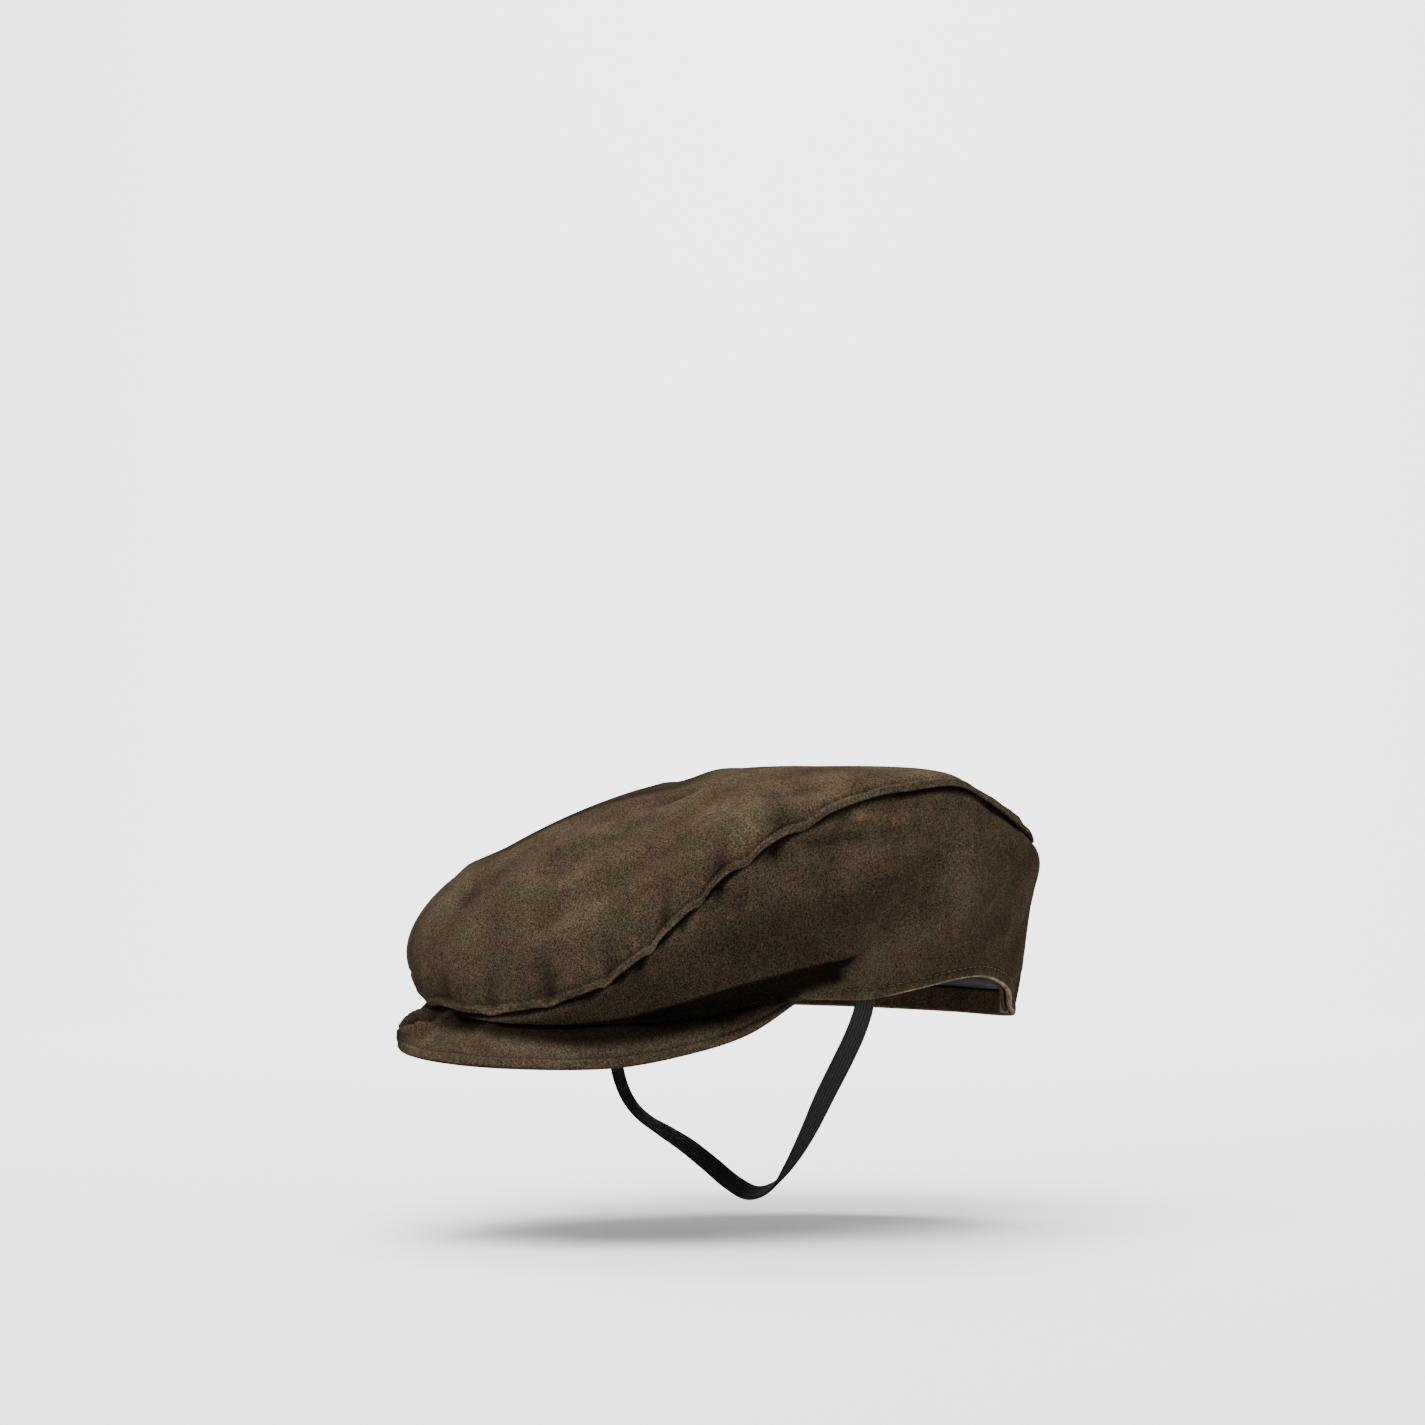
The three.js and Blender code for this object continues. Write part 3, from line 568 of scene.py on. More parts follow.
def side_panel(name, start, end):
    """One side panel between two joins, with the values that its stitches need."""
    count = int((end - start) * 2)
    turns = np.linspace(start, end, count + 1)
    stops = np.concatenate([np.linspace(0, 1, 25)[:-1] ** 1.3 * 0.16, np.linspace(0.16, 0.93, 56),
                            0.93 + 0.07 * np.linspace(0, 1, 13)[1:]])
    flat = side_face(turns, stops)
    out = outward(flat, False)
    level_out = unit(flat[:, out_column] * [1, 1, 0])
    out *= np.sign((out[:, out_column] * level_out).sum(-1))[:, None, None]
    up_run = run_along(flat, 1)
    below = up_run[:, -1:] - up_run
    along = run_along(flat[:, -1:], 0)[:, 0]
    fade = ease(below, 1.0, 10.0) * ease(up_run, 2.0, 12.0)
    folds = (fold_lift(flat, side_folds) + fold_lift(flat, side_wrinkles)) * fade
    dips = pucker_lift(turns, along, below, side_puckers) * ease(below, 0.2, 2.0)
    lift = folds + dips
    lift -= 0.75 * ease(2.4 - below, 0, 2.0) + 0.6 * bump(below - 2.4, 1.2)
    lift -= 0.3 * bump(up_run - hem_stitch, 0.6)
    for join in (start, end):
        gap = (np.abs(turns - join) * math.radians(1))[:, None] * np.hypot(flat[..., 0], flat[..., 1])
        deep, width = (1.5, 3.2) if join == back_join else (0.8, 1.6)
        lift -= deep * np.exp(-gap / width) * ease(up_run, 0.5, 5.0)
    points = flat + out * lift[..., None]
    radial = unit(flat[:, 0] * [1, 1, 0])
    turned = []
    for inward, rise in hem_turned:
        turned.append(flat[:, 0] - radial * inward + np.array([0, 0, rise]))
    turned = np.stack(turned, axis=1)
    everything = np.concatenate([turned, points], axis=1)
    outs = np.concatenate([np.repeat(out[:, :1], turned.shape[1], axis=1), out], axis=1)
    height = run_along(everything, 1)
    outs[:, :still_columns] = 0
    piece = lay_cloth(name, everything, cloth_map(along[:, None], height), outs)
    wear_and_rib_light = wear_and_shade_of(lift, -0.6, 1.4) * 0.7 + 0.6 * bump(up_run - 0.3, 0.7)
    wear_and_rib_light = np.concatenate([np.full(turned.shape[:2], 0.4), wear_and_rib_light], axis=1)
    give_point_values(piece, wear_and_rib_light, everything)
    bare = np.concatenate([np.tile(hem_bare, (len(turns), 1)), 0.7 * bump(up_run, 0.15)], axis=1)
    bare = bare * (0.15 + 0.85 * ease(turns, 82, 92) * ease(300 - turns, 0, 15))[:, None]
    give_point_values(piece, bare, everything, "bare", 0.0)
    # Painted shade, kept as deep: darker below the crease where the front of the side tucks in over the peak,
    # and, as shaded, darker on the lower front up to 24 mm above the crease.
    from_front = np.abs((turns + 180) % 360 - 180)
    crease = block_at(hang, turns)[1][:, None] + 0.5
    deep = ease(crease - points[..., 2], -0.4, 1.1) * ease(75 - from_front, 0, 5)[:, None]
    deep = deep * ease(0.62 - stops, 0, 0.1)[None, :]
    deep = deep * np.maximum(ease(up_run, 3.2, 8), ease(60 - from_front, -3, 3)[:, None])
    shaded = 0.5 * ease(crease + 24 - points[..., 2], 0, 10) * ease(80 - from_front, 0, 14)[:, None]
    # Painted shade also in fold valleys, in the groove of the hem stitches, in a band under the seam's roll
    # and in the pucker dips. The turned hem takes the value at the hem.
    deep = np.maximum.reduce([
        deep, shaded * ease(up_run, 2, 8), 0.3 * wear_and_shade_of(-folds, 0.8, 2.4),
        0.45 * bump(up_run - hem_stitch, 0.55), 0.95 * ease(3.6 - below, 0, 1.8),
        0.8 * wear_and_shade_of(-dips, 0.5, 2.0)])
    deep = np.concatenate([np.repeat(deep[:, :1], turned.shape[1], axis=1), deep], axis=1)
    give_point_values(piece, deep, everything, "deep", 0.0)
    return piece, {"turns": turns, "points": points, "out": out, "up": up_run}


side_left, left_lines = side_panel("side_cloth_left", front_join, back_join)
side_right, right_lines = side_panel("side_cloth_right", back_join, 360.0 + front_join)

# %% [markdown]
# The peak is two cloths over a board. The upper one rolls over the edge and meets the lower one
# half way down, and a row of stitches holds both 2.3 mm in from the edge. It lies nearly level, so
# its folds are measured in plan.

# %% Peak
peak_deep, peak_stitch = 3.3, 2.3
peak_folds = np.array([
    [-2, -117.6, 0, -8, -125, 0, 1.6, 2.4], [-8, -125, 0, -30, -122.5, 0, 1.6, 2.4],
    [-7, -121, 0, -36, -118.5, 0, 1.5, -2.8], [-17, -119, 0, -42, -114.5, 0, 1.7, 2.2],
    [6, -114, 0, 0, -130, 0, 3.0, -0.9], [18, -112, 0, 16, -127, 0, 3.0, 0.8],
    [40, -84, 0, 62, -97, 0, 6, 0.5], [60, -62, 0, 76, -70, 0, 5, -0.5],
])


# how far down and out each last column lies, round the edge of each cloth
upper_edge = ((1.15, 0.22), (1.5, 0.25), (1.68, 0.1), (1.75, -0.6))
lower_edge = ((2.2, 0.18), (2.0, 0.2), (1.85, 0.08), (1.78, -0.6))


def peak_cloth(name, above):
    turns = np.linspace(peak[0, 0], peak[-1, 0], 301)
    stops = np.concatenate([np.linspace(0, 0.88, 36), 0.88 + 0.12 * np.linspace(0, 1, 15)[1:]])
    flat = peak_face(turns[:, None], stops[None, :])
    out = outward(flat, False)
    out *= np.sign(out[:, 20:21, 2:3])
    through_peak = out[:, 25:26]
    inward = run_along(flat, 1)
    inward = inward[:, -1:] - inward
    ends = ease(76 - np.abs(turns), 15, 19)[:, None]
    lift = fold_lift(flat * [1, 1, 0], peak_folds) * ease(inward, 0, 3.5)
    lift -= 0.4 * bump(inward - peak_stitch, 0.6)
    thin = (0.3 + 0.7 * ease(peak[-1, 0] - np.abs(turns), 0, 10))[:, None]
    round_off = 0.9 * (1 - np.sqrt(np.clip(1 - (1 - np.clip(inward / 1.5, 0, 1)) ** 2, 0, 1))) * thin
    edge_out = unit(flat[:, -1] - flat[:, -3])
    if above:
        points = flat + out * (lift - round_off)[..., None]
    else:
        points = flat - through_peak * (peak_deep * thin)[..., None] + through_peak * round_off[..., None]
        points = points + through_peak * (0.3 * bump(inward - peak_stitch, 0.6))[..., None]
        out = -out
    tail = [flat[:, -1] - through_peak[:, 0] * fall * thin + edge_out * bulge * thin
            for fall, bulge in (upper_edge if above else lower_edge)]
    tail = np.stack(tail, axis=1)
    everything = np.concatenate([points, tail], axis=1)
    outs = np.concatenate([out, np.repeat(0 * out[:, -1:], tail.shape[1], axis=1)], axis=1)
    piece = lay_cloth(name, everything, everything[..., :2], outs)
    wear_and_rib_light = wear_and_shade_of(lift, -0.4, 1.0) * 0.6 + 0.7 * bump(inward, 0.9) * ends
    give_point_values(piece, and_tail(wear_and_rib_light, tail, 0.5), everything)
    run_to_edge = and_tail(inward, tail, 0.3)
    # Painted shade on both peak cloths: darker towards the crown, which overhangs the peak, less on its right
    # half, in fold valleys and in the stitch groove, and a little everywhere.
    peak_painted_shade = ease(run_to_edge - 3 - 5 * ease(30 - turns, 0, 25)[:, None], 0, 6)
    peak_painted_shade = peak_painted_shade * (0.3 + 0.7 * ease(turns, -14, 4))[:, None]
    groove = 0.3 * bump(run_to_edge - peak_stitch, 0.5) * ends
    peak_painted_shade = np.maximum(peak_painted_shade, and_tail(0.6 * wear_and_shade_of(-lift, 0.4, 1.6), tail, 0.0))
    give_point_values(piece, np.maximum(0.1 + 0.85 * peak_painted_shade, groove), everything, "deep", 0.2)
    give_point_values(piece, 0.07 * bump(run_to_edge, 0.6) * ends, everything, "bare", 0.0)
    return piece, {"points": points, "out": out, "in": inward}


peak_top, peak_lines = peak_cloth("peak_cloth", True)
peak_below, under_lines = peak_cloth("peak_facing", False)

# %% [markdown]
# Inside the hem runs a band of the same cotton, and above it the lining, which is thin and shiny and
# lies in soft creases. Both are thin walls: a sheet is laid first and Solidify gives it thickness.

# %% Band and lining
band_inset, band_tall, band_wall, lining_wall, lining_gap = 2.4, 8.0, 1.2, 1.0, 0.4
lining_lean, lining_shoulder_up, lining_crown_share, lining_crown_up = 4.0, 56.0, 0.68, 62.0


def thicken(piece, wall):
    """Gives a sheet its thickness on its inner side."""
    bpy.context.view_layer.objects.active = piece
    modifier = piece.modifiers.new("wall", "SOLIDIFY")
    modifier.thickness = wall * mm
    modifier.offset = -1
    bpy.ops.object.modifier_apply(modifier=modifier.name)


ring = np.linspace(0, 360, 361)
rim_out, rim_up = block_at(rim, ring)
up_band = np.linspace(0.35, band_tall - 0.1, 14)
band_wave = 0.25 * np.sin(np.radians(ring) * 23) + 0.2 * np.sin(np.radians(ring) * 41 + 1)
band_wave = band_wave[:, None] * ease(up_band, 0.5, 6)[None, :]
band_out = rim_out[:, None] - band_inset + band_wave * 0.5 - 0.15
band = around(ring[:, None], band_out, rim_up[:, None] + up_band[None, :])
hem_run = run_along(around(ring, rim_out, rim_up)[:, None], 0)
inner_band = lay_cloth("band_cloth", band, cloth_map(hem_run, up_band), unit(band * [1, 1, 0]))
give_point_values(inner_band, np.clip(band_wave + 0.4, 0, 1), band)
thicken(inner_band, band_wall)

s = np.linspace(0, 1, 60)[None, :, None]
start = around(ring, rim_out - band_inset, rim_up + band_tall + lining_gap)[:, None]
over = around(ring, rim_out - band_inset + lining_lean, lining_shoulder_up + 0 * rim_up)[:, None]
level = around(ring, rim_out * lining_crown_share, lining_crown_up + 0 * rim_up)[:, None]
middle_top = np.array([0, crown_middle[1], lining_crown_up])
lining = arc(s, middle_top, level, over, start)
lining_out = unit(lining - [0, crown_middle[1], 20])
down = run_along(lining, 1)
wrinkle = (0.5 * np.sin(np.radians(ring) * 19 + 0.6) + 0.35 * np.sin(np.radians(ring) * 33 + 2))[:, None]
wrinkle = wrinkle * bump(down[:, -1:] - down, 16) * ease(down[:, -1:] - down, 0, 3)
groove = -0.7 * bump(down - down[:, 30:31], 1.2)
lining = lining + lining_out * (np.minimum(wrinkle, 0.2) + groove - 0.2)[..., None]
ring_turn = np.radians(ring)[:, None]
lining_uv = cloth_map(down * np.sin(ring_turn), -down * np.cos(ring_turn))
lining_cloth = lay_cloth("lining_cloth", lining, lining_uv, lining_out)
give_point_values(lining_cloth, np.clip(0.5 - wrinkle, 0, 1) + 0 * down, lining)
thicken(lining_cloth, lining_wall)

# %% [markdown]
# Thread is what makes cloth read as sewn. One stitch is a flattened bead, 2.4 mm long, and it is
# repeated every 3 mm along each row. The stitches of a row are one mesh.

# %% Stitches
stitch_pitch, stitch_long, stitch_wide = 3.0, 2.4, 0.5


def stitch_shape():
    """The vertices and faces of one stitch along X, from a ball with few faces."""
    bpy.ops.object.select_all(action="DESELECT")
    bpy.ops.mesh.primitive_uv_sphere_add(segments=6, ring_count=4, radius=0.5)
    ball = bpy.context.object
    points = np.array([v.co[:] for v in ball.data.vertices])
    faces = [tuple(p.vertices) for p in ball.data.polygons]
    bpy.ops.object.delete()
    return points[:, [2, 0, 1]] * [stitch_long, stitch_wide, stitch_wide * 0.8], faces


stitch_points, stitch_faces = stitch_shape()


def stitch_row(name, line, out, pitch=stitch_pitch):
    """A row of stitches along a line of points, standing a little out of the cloth."""
    run = run_along(line[None], 1)[0]
    places = np.arange(pitch * 0.5, run[-1], pitch)
    at, away = at_places(places, run, line), unit(at_places(places, run, out))
    step = pitch * 0.35
    along = unit(at_places(places + step, run, line) - at_places(places - step, run, line))
    away = unit(away - along * (along * away).sum(-1, keepdims=True))
    across = np.cross(away, along)
    points = (at[:, None] + along[:, None] * stitch_points[None, :, :1]
              + across[:, None] * stitch_points[None, :, 1:2] + away[:, None] * stitch_points[None, :, 2:])
    faces = [tuple(v + n * len(stitch_points) for v in face) for n in range(len(at)) for face in stitch_faces]
    mesh = bpy.data.meshes.new(name)
    mesh.from_pydata((points.reshape(-1, 3) * mm).tolist(), [], faces)
    piece = bpy.data.objects.new(name, mesh)
    bpy.context.scene.collection.objects.link(piece)
    mesh.shade_smooth()
    print(name, len(at), "stitches")
    return piece


def line_at(values, distance, points, out):
    """The line on a grid where its running distance has one value, and the direction out there."""
    spots, ways = [], []
    for k in range(len(points)):
        order = np.argsort(values[k])
        spots.append(at_places([distance], values[k][order], points[k][order])[0])
        ways.append(at_places([distance], values[k][order], out[k][order])[0])
    return np.array(spots), unit(np.array(ways))


rows = []
off_the_ends = slice(8, -8)
line, way = line_at(from_seam, edge_stitch + 0.2, top_points, out_top)
rows.append(stitch_row("seam_stitches", line, way))
for side, lines, keep in (("left", left_lines, (60, 167)), ("right", right_lines, (169, 300))):
    line, way = line_at(lines["up"], hem_stitch, lines["points"], lines["out"])
    chosen = (lines["turns"] >= keep[0]) & (lines["turns"] <= keep[1])
    rows.append(stitch_row("hem_stitches_" + side, line[chosen], way[chosen]))
for name, lines in (("peak_stitches", peak_lines), ("peak_facing_stitches", under_lines)):
    line, way = line_at(lines["in"], peak_stitch, lines["points"], lines["out"])
    rows.append(stitch_row(name, line[off_the_ends], way[off_the_ends]))
strap_row_half, strap_row_proud, strap_pitch = 2.9, 0.62, 1.9
for name, ring_at in (("left", 4), ("right", -5)):
    spot, flat_way, face_way = middle[ring_at], wide[ring_at], thick[ring_at]
    face_way = face_way * (1 if face_way @ (spot * [1, 1, 0]) < 0 else -1)
    line = np.array([spot + flat_way * w for w in (-strap_row_half, 0, strap_row_half)])
    line = line + face_way * strap_row_proud
    rows.append(stitch_row("strap_stitches_" + name, line, np.repeat(face_way[None], 3, axis=0), strap_pitch))

# %% [markdown]
# At the centre back the raw allowance of the seam is bound with a narrow pale tape that shows inside
# the opening. It is a short strip, puckered by its own stitches.

# %% Centre-back tape
tape_wide, tape_tall, tape_wall, tape_angle = 7.0, 13.0, 0.3, 166.5
tape_turns = np.linspace(-1, 1, 25)
tape_ups = np.linspace(0.5, tape_tall, 40)
tape_out, tape_base = block_at(rim, np.array([tape_angle]))
tape_middle = around(np.array([tape_angle]), tape_out, tape_base)[0]
inward_way = -unit(tape_middle * [1, 1, 0])
sideways = np.cross([0, 0, 1.0], inward_way)
tape_wave = 0.35 * np.sin(tape_ups * 1.5)[None, :] * (0.6 + 0.4 * tape_turns[:, None])
depth = band_inset + band_wall + 0.35 + tape_wave
depth = depth + 0.25 * (1 - tape_turns[:, None] ** 2)
tape_across = (tape_turns * tape_wide / 2)[:, None]
tape = (tape_middle + sideways * tape_across[..., None] + inward_way * depth[..., None]
        + np.array([0, 0, 1.0]) * tape_ups[None, :, None])
tape_facing = np.broadcast_to(inward_way, tape.shape)
back_tape = lay_cloth("back_tape", tape, cloth_map(tape_across, tape_ups), tape_facing)
give_point_values(back_tape, 0.5 + 0 * depth, tape)
thicken(back_tape, tape_wall)

# %% [markdown]
# Each finish starts from what it is made of. One function turns a hex colour to linear, and one adds
# a node with its settings and links. The short ones after them add the nodes that come up often.

# %% Material helpers
def linear(hex_colour):
    """A hex sRGB colour as linear RGBA."""
    parts = [int(hex_colour[i:i + 2], 16) / 255 for i in (1, 3, 5)]
    return [c / 12.92 if c <= 0.04045 else ((c + 0.055) / 1.055) ** 2.4 for c in parts] + [1]


def add(tree, kind, settings=None, **links):
    """Adds a node. settings are its own, and links name an input and the socket or value for it."""
    node = tree.nodes.new("ShaderNode" + kind)
    for key, value in (settings or {}).items():
        setattr(node, key, value)
    for key, value in links.items():
        socket = node.inputs[int(key[1:])] if key[1:].isdigit() else node.inputs[key.replace("_", " ")]
        if isinstance(value, bpy.types.NodeSocket):
            tree.links.new(value, socket)
        else:
            socket.default_value = value
    return node


def noise(tree, place, scale, detail, roughness=0.5):
    return add(tree, "TexNoise", Vector=place, Scale=scale, Detail=detail, Roughness=roughness).outputs["Fac"]


def told(tree, name):
    """A value that the piece carries at each of its points."""
    return add(tree, "Attribute", {"attribute_name": name}).outputs["Fac"]


def span(tree, value, low, high, from_low=0.0, from_high=1.0):
    """Stretches from_low to from_high out to low to high, and stops there."""
    return add(tree, "MapRange", Value=value, From_Min=from_low, From_Max=from_high, To_Min=low,
               To_Max=high).outputs[0]


def times(tree, one, other):
    return add(tree, "Math", {"operation": "MULTIPLY"}, _0=one, _1=other).outputs[0]


def mix(tree, amount, under, over, way="MIX"):
    return add(tree, "Mix", {"data_type": "RGBA", "blend_type": way}, _0=amount, _6=under, _7=over).outputs[2]


def bands(tree, way, pitch, **settings):
    """Soft bands about pitch mm apart, across the map of the cloth."""
    cloth = add(tree, "UVMap", {"uv_map": "cloth"}).outputs["UV"]
    return add(tree, "TexWave", {"bands_direction": way}, Vector=cloth, Scale=2 / (pitch * mm) / 6.2832,
               **settings).outputs["Fac"]


def bump_of(tree, height, strength, distance, **links):
    """The normal that a height gives, where 1 stands distance mm proud."""
    return add(tree, "Bump", Strength=strength, Distance=distance * mm, Height=height,
               **links).outputs["Normal"]


def new_material(name):
    material = bpy.data.materials.new(name)
    material.use_nodes = True
    material.node_tree.nodes.clear()
    return material, material.node_tree


def finish_with(tree, colour, roughness, normal, **settings):
    shader = add(tree, "BsdfPrincipled", Base_Color=colour, Roughness=roughness, Normal=normal)
    for key, value in settings.items():
        shader.inputs[key.replace("_", " ")].default_value = value
    add(tree, "OutputMaterial", Surface=shader.outputs["BSDF"])


def ramp(tree, value, stops):
    """A colour ramp through (place, hex) stops."""
    node = add(tree, "ValToRGB", Fac=value)
    points = node.color_ramp.elements
    while len(points) < len(stops):
        points.new(0.5)
    for point, (place, colour) in zip(points, stops):
        point.position, point.color = place, linear(colour)
    return node.outputs["Color"]


print("mid grey is", round(linear("#808080")[0], 3), "in linear light")

# %% [markdown]
# Waxed cotton is a plain weave soaked with wax. It looks dark, matt and a little greasy, and it is
# uneven: cool grey-olive where the wax is thick, rust-brown where it has rubbed off, with a slow
# change of hue between. Threads lie 0.4 mm apart, which is too fine for the picture, so the weave is
# drawn at 0.7 mm. A speckle of 0.5 mm stands for the fluff and wax in the weave. Where the hem is
# folded, the wax has cracked off and the bare thread is pale. Shade is painted into the colour where
# cloth tucks under, folds in or sinks at a seam: the deep value darkens it.

# %% Waxed cotton
pale_edge, olive_tint, rust_tint = "#74665a", "#f8fff0", "#fff4f1"
thread_pitch = 0.7


def waxed_cotton(name, dark, base, light, rust):
    material, tree = new_material(name)
    place = add(tree, "TexCoord").outputs["Object"]
    cloth = add(tree, "UVMap", {"uv_map": "cloth"}).outputs["UV"]
    drawn_out = add(tree, "Mapping", Vector=cloth, Scale=(260, 900, 1)).outputs[0]
    clouds, streaks = noise(tree, place, 38.0, 4.0, 0.55), noise(tree, drawn_out, 1.0, 3.0, 0.6)
    speckle, rubs = noise(tree, place, 2000.0, 1.0, 0.6), noise(tree, place, 260.0, 5.0, 0.7)
    tone = ramp(tree, clouds, [(0.3, dark), (0.5, base), (0.72, light)])
    flecks = span(tree, rubs, 0.0, 1.0, 0.5, 0.68)
    rubbed = times(tree, flecks, span(tree, told(tree, "wear_and_rib_light"), 0.12, 0.7, 0.0, 0.9))
    tone = mix(tree, rubbed, tone, linear(rust))
    frayed = times(tree, told(tree, "bare"), span(tree, rubs, 0.2, 1.0, 0.3, 0.6))
    tone = mix(tree, frayed, tone, linear(pale_edge))
    tint = ramp(tree, noise(tree, place, 110.0, 2.0), [(0.35, olive_tint), (0.65, rust_tint)])
    tone = mix(tree, 1.0, tone, tint, "MULTIPLY")
    grain = times(tree, span(tree, speckle, 0.35, 1.8, 0.3, 0.7), span(tree, streaks, 0.86, 1.14, 0.3, 0.7))
    # Painted shade: the deep value darkens the colour to as little as a tenth.
    painted_shade = span(tree, told(tree, "deep"), 1.0, 0.1)
    light_back = times(tree, grain, painted_shade)
    tone = add(tree, "VectorMath", {"operation": "SCALE"}, _0=tone, Scale=light_back).outputs[0]
    warp, weft = [bands(tree, way, thread_pitch, Distortion=1.5, Detail=1.0) for way in "XY"]
    weave = add(tree, "Math", {"operation": "MAXIMUM"}, _0=warp, _1=weft).outputs[0]
    height = add(tree, "Math", {"operation": "MULTIPLY_ADD"}, _0=speckle, _1=1.2, _2=weave).outputs[0]
    fine = bump_of(tree, height, 0.35, 0.12)
    normal = bump_of(tree, noise(tree, place, 150.0, 3.0), 0.5, 0.35, Normal=fine)
    rough = span(tree, rubs, 0.74, 0.9, 0.3, 0.7)
    finish_with(tree, tone, rough, normal, IOR=1.46, Specular_IOR_Level=0.0)
    return material


shell_cloth = waxed_cotton("waxed cotton", "#211c17", "#2b241d", "#352f26", "#402e1e")
facing_cloth = waxed_cotton("waxed cotton facing", "#1e1814", "#2a211b", "#352a22", "#402c1a")
print("made", shell_cloth.name, "and", facing_cloth.name)

# %% [markdown]
# The lining is a light acetate with a faint shine, dark mauve. The elastic is braided polyester over
# rubber, nearly black: its chevrons are 1.2 mm long, drawn along the strap's own map. Its rib crests
# are painted lighter and its grooves darker, as light and shade on the ribs. Thread is twisted
# cotton. The tape is a pale cotton.

# %% Lining, elastic, thread and tape
def plain_cloth(name, base, light, roughness, pitch, depth, shine=0.5):
    material, tree = new_material(name)
    place = add(tree, "TexCoord").outputs["Object"]
    mottle = noise(tree, place, 220.0, 4.0, 0.6)
    tone = ramp(tree, mottle, [(0.3, base), (0.7, light)])
    warp, weft = [bands(tree, way, pitch, Distortion=0.8) for way in "XY"]
    weave = add(tree, "Math", {"operation": "MAXIMUM"}, _0=warp, _1=weft).outputs[0]
    normal = bump_of(tree, weave, 0.4, depth)
    rough = span(tree, mottle, roughness - 0.06, roughness + 0.06)
    finish_with(tree, tone, rough, normal, IOR=1.5, Specular_IOR_Level=shine)
    return material


lining_acetate = plain_cloth("acetate lining", "#141013", "#221b1f", 0.55, 0.5, 0.05, 0.2)
pale_tape = plain_cloth("cotton tape", "#2b2528", "#6c6365", 0.8, 0.6, 0.12, 0.2)
hem_thread = plain_cloth("olive thread", "#2c2918", "#423e25", 0.8, 0.4, 0.05, 0.1)
dark_thread = plain_cloth("brown thread", "#130f0b", "#1f1912", 0.8, 0.4, 0.05, 0.1)
black_thread = plain_cloth("black thread", "#1a1819", "#2a2728", 0.7, 0.4, 0.05)


chevron_pitch = 1.2


def braided_elastic(name, base, light):
    material, tree = new_material(name)
    place = add(tree, "TexCoord").outputs["Object"]
    fluff = noise(tree, place, 1400.0, 2.0)
    mixed = times(tree, bands(tree, "DIAGONAL", chevron_pitch, Distortion=0.6), fluff)
    # Painted light and shade on the ribs: lighter on the crests, darker in the grooves.
    painted_rib_light = times(tree, span(tree, mixed, 0.75, 1.1), told(tree, "wear_and_rib_light"))
    tone = ramp(tree, painted_rib_light, [(0.1, base), (0.8, light)])
    normal = bump_of(tree, mixed, 0.3, 0.08)
    rough = span(tree, fluff, 0.6, 0.8)
    finish_with(tree, tone, rough, normal, IOR=1.5, Specular_IOR_Level=0.15)
    return material


black_braid = braided_elastic("braided elastic", "#030303", "#1d1b1c")
print("made", len(bpy.data.materials), "finishes so far")

# %% [markdown]
# Every piece rides on the one body and takes its finish, and those that stand for solids hide them.

# %% Pieces, solids and slots
def dress(piece, material, slot, *nodes):
    piece.data.materials.clear()
    piece.data.materials.append(material)
    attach(piece, "root")
    if nodes:
        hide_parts(*nodes)


# The strap's ribs: 1 on their crests and 0 in their grooves, painted as light and shade.
rib_high = np.clip((np.abs(proud) / (strap_thick / 2) - (1 - rib_deep)) / rib_deep, 0, 1)
give_point_values(chin_strap, np.broadcast_to(rib_high, rings.shape[:2]), rings)
dress(top_cloth, shell_cloth, "waxed_cotton", "top_panel")
dress(side_left, shell_cloth, "waxed_cotton", "side_panel_left")
dress(side_right, shell_cloth, "waxed_cotton", "side_panel_right")
dress(peak_top, shell_cloth, "waxed_cotton", "peak_upper")
dress(peak_below, facing_cloth, "facing_cotton", "peak_under")
dress(inner_band, facing_cloth, "facing_cotton", "inner_band")
dress(lining_cloth, lining_acetate, "lining_cloth", "lining_top", "lining_side_left",
      "lining_side_right")
dress(back_tape, pale_tape, "lining_cloth")
dress(chin_strap, black_braid, "elastic", "chin_strap")
for row in rows:
    thread = hem_thread if "hem" in row.name else black_thread if "strap" in row.name else dark_thread
    dress(row, thread, "elastic" if "strap" in row.name else "waxed_cotton")

# %% [markdown]
# The cap hangs in a pale studio: a floor that sweeps up behind, a wide soft light overhead, a weak
# one from the camera's side and one from its right, one on the paper behind, and a pale surround.

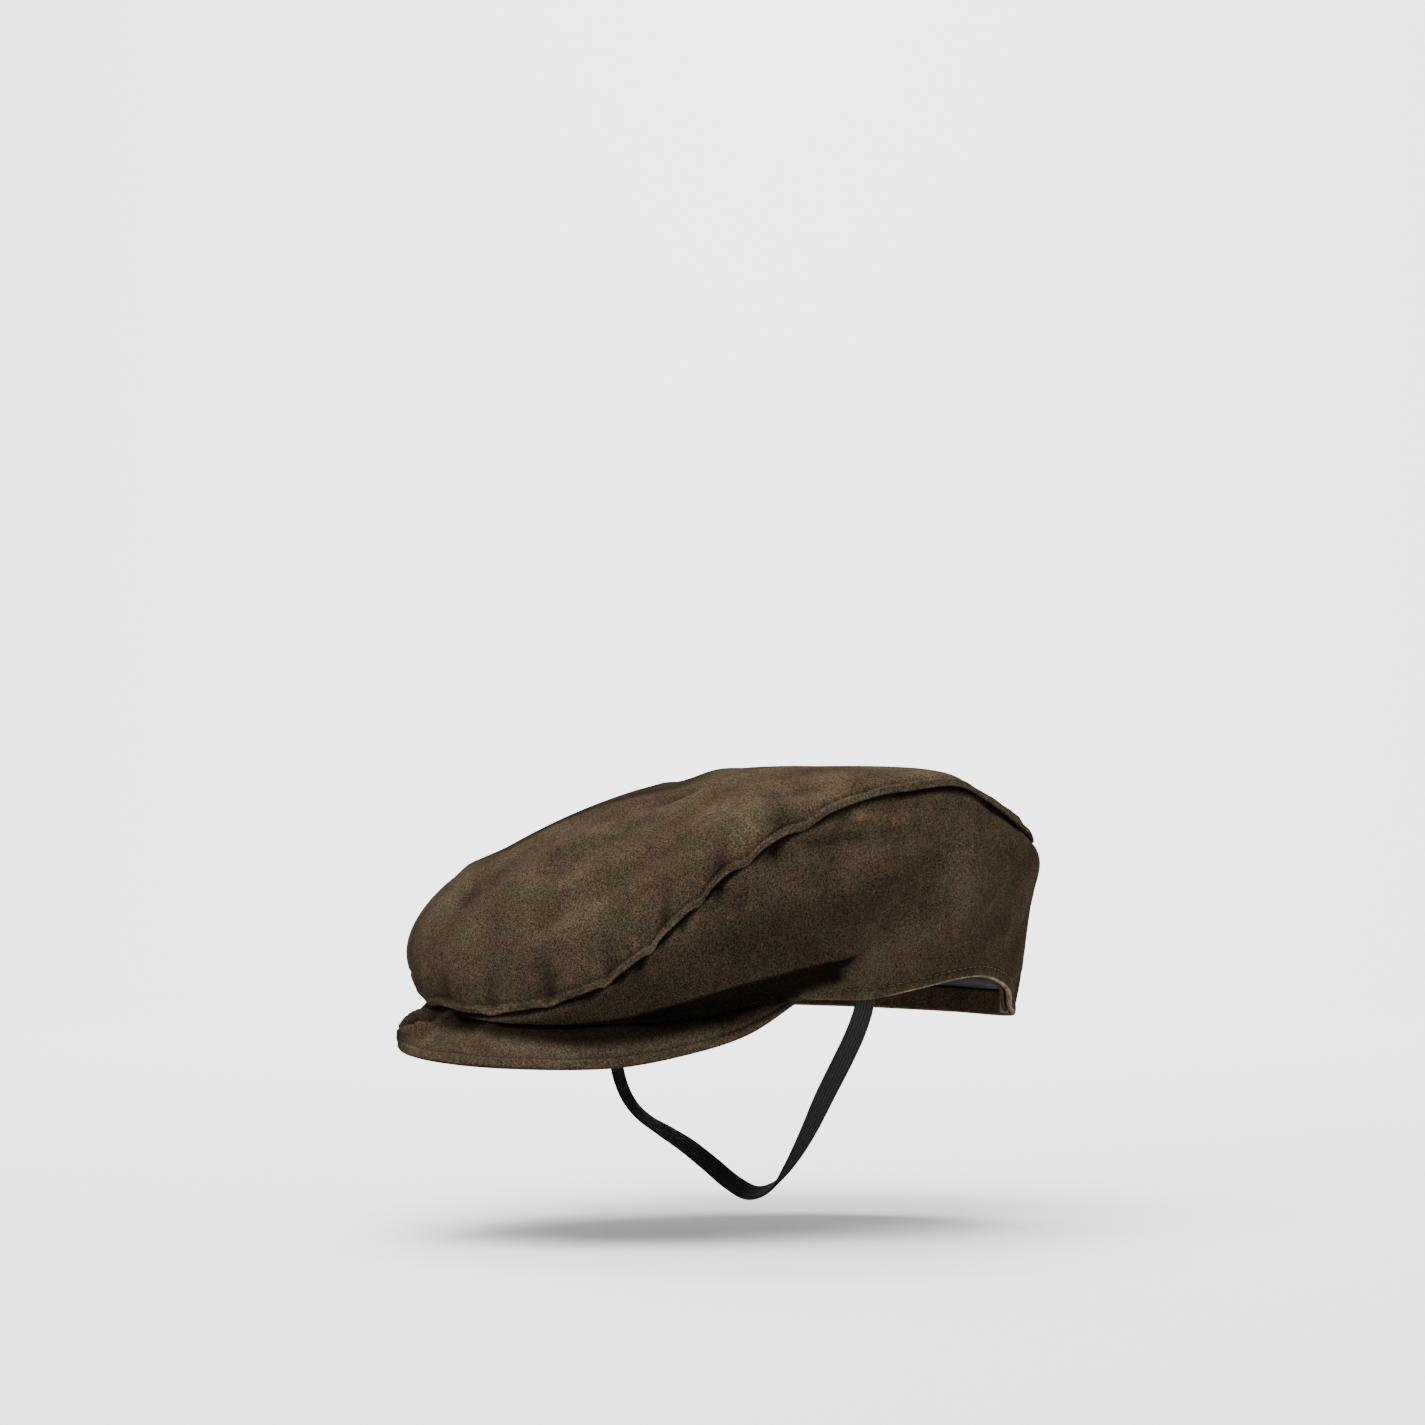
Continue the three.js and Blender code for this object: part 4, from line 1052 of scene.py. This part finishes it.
# %% Studio
floor_up, floor_half, sweep_at, sweep_radius, wall_up = -75, 2600, 1500, 900, 2600
sweep_steps, floor_side = 12, 4000
profile = [(-floor_half, floor_up), (sweep_at, floor_up)]
for k in range(1, sweep_steps + 1):
    a = math.radians(90 * k / sweep_steps)
    profile.append((sweep_at + sweep_radius * math.sin(a), floor_up + sweep_radius * (1 - math.cos(a))))
profile.append((sweep_at + sweep_radius, wall_up))
floor, row, column = new_piece("studio_floor", len(profile) - 1, 1)
away = -Vector((back.x, back.y, 0)).normalized()
spots = np.array([[away.x * far + right.x * wide_way, away.y * far + right.y * wide_way, height]
                  for far, height in profile for wide_way in (-floor_side, floor_side)])
spots = spots.reshape(len(profile), 2, 3)
floor.data.vertices.foreach_set("co", (spots[row, column] * mm).ravel())
floor.data.update()
bpy.ops.object.shade_smooth()
paper, tree = new_material("studio paper")
tooth = noise(tree, add(tree, "TexCoord").outputs["Object"], 300.0, 2.0)
finish_with(tree, linear("#cfcfd0"), 0.9, bump_of(tree, tooth, 0.02, 0.1))
floor.data.materials.append(paper)

world = bpy.data.worlds.new("studio")
bpy.context.scene.world = world
world.use_nodes = True
surround = world.node_tree.nodes["Background"]
surround.inputs["Color"].default_value = linear("#f4f4f6")
surround.inputs["Strength"].default_value = 0.7


def softbox(name, place, size, watts, target=Vector((0, 0, 0))):
    bpy.ops.object.light_add(type="AREA", location=Vector(place) * mm)
    light = bpy.context.object
    light.name = name
    light.data.size = size * mm
    light.data.energy = watts
    light.rotation_euler = (target * mm - light.location).to_track_quat("-Z", "Y").to_euler()
    return light


overhead = softbox("overhead", back * 550 - right * 250 + Vector((0, 0, 1250)), 1200, 80)
from_camera = softbox("from the camera's side", back * 1300 - right * 500 + Vector((0, 0, 700)), 700, 2)
from_right = softbox("from the right", back * 900 + right * 1100 + Vector((0, 0, 300)), 700, 2.5)
on_paper = softbox("on the paper behind", away * 1100 + Vector((0, 0, 1900)), 1200, 190,
                   away * 2400 + Vector((0, 0, 400)))
print("lights:", [light.name for light in (overhead, from_camera, from_right, on_paper)])
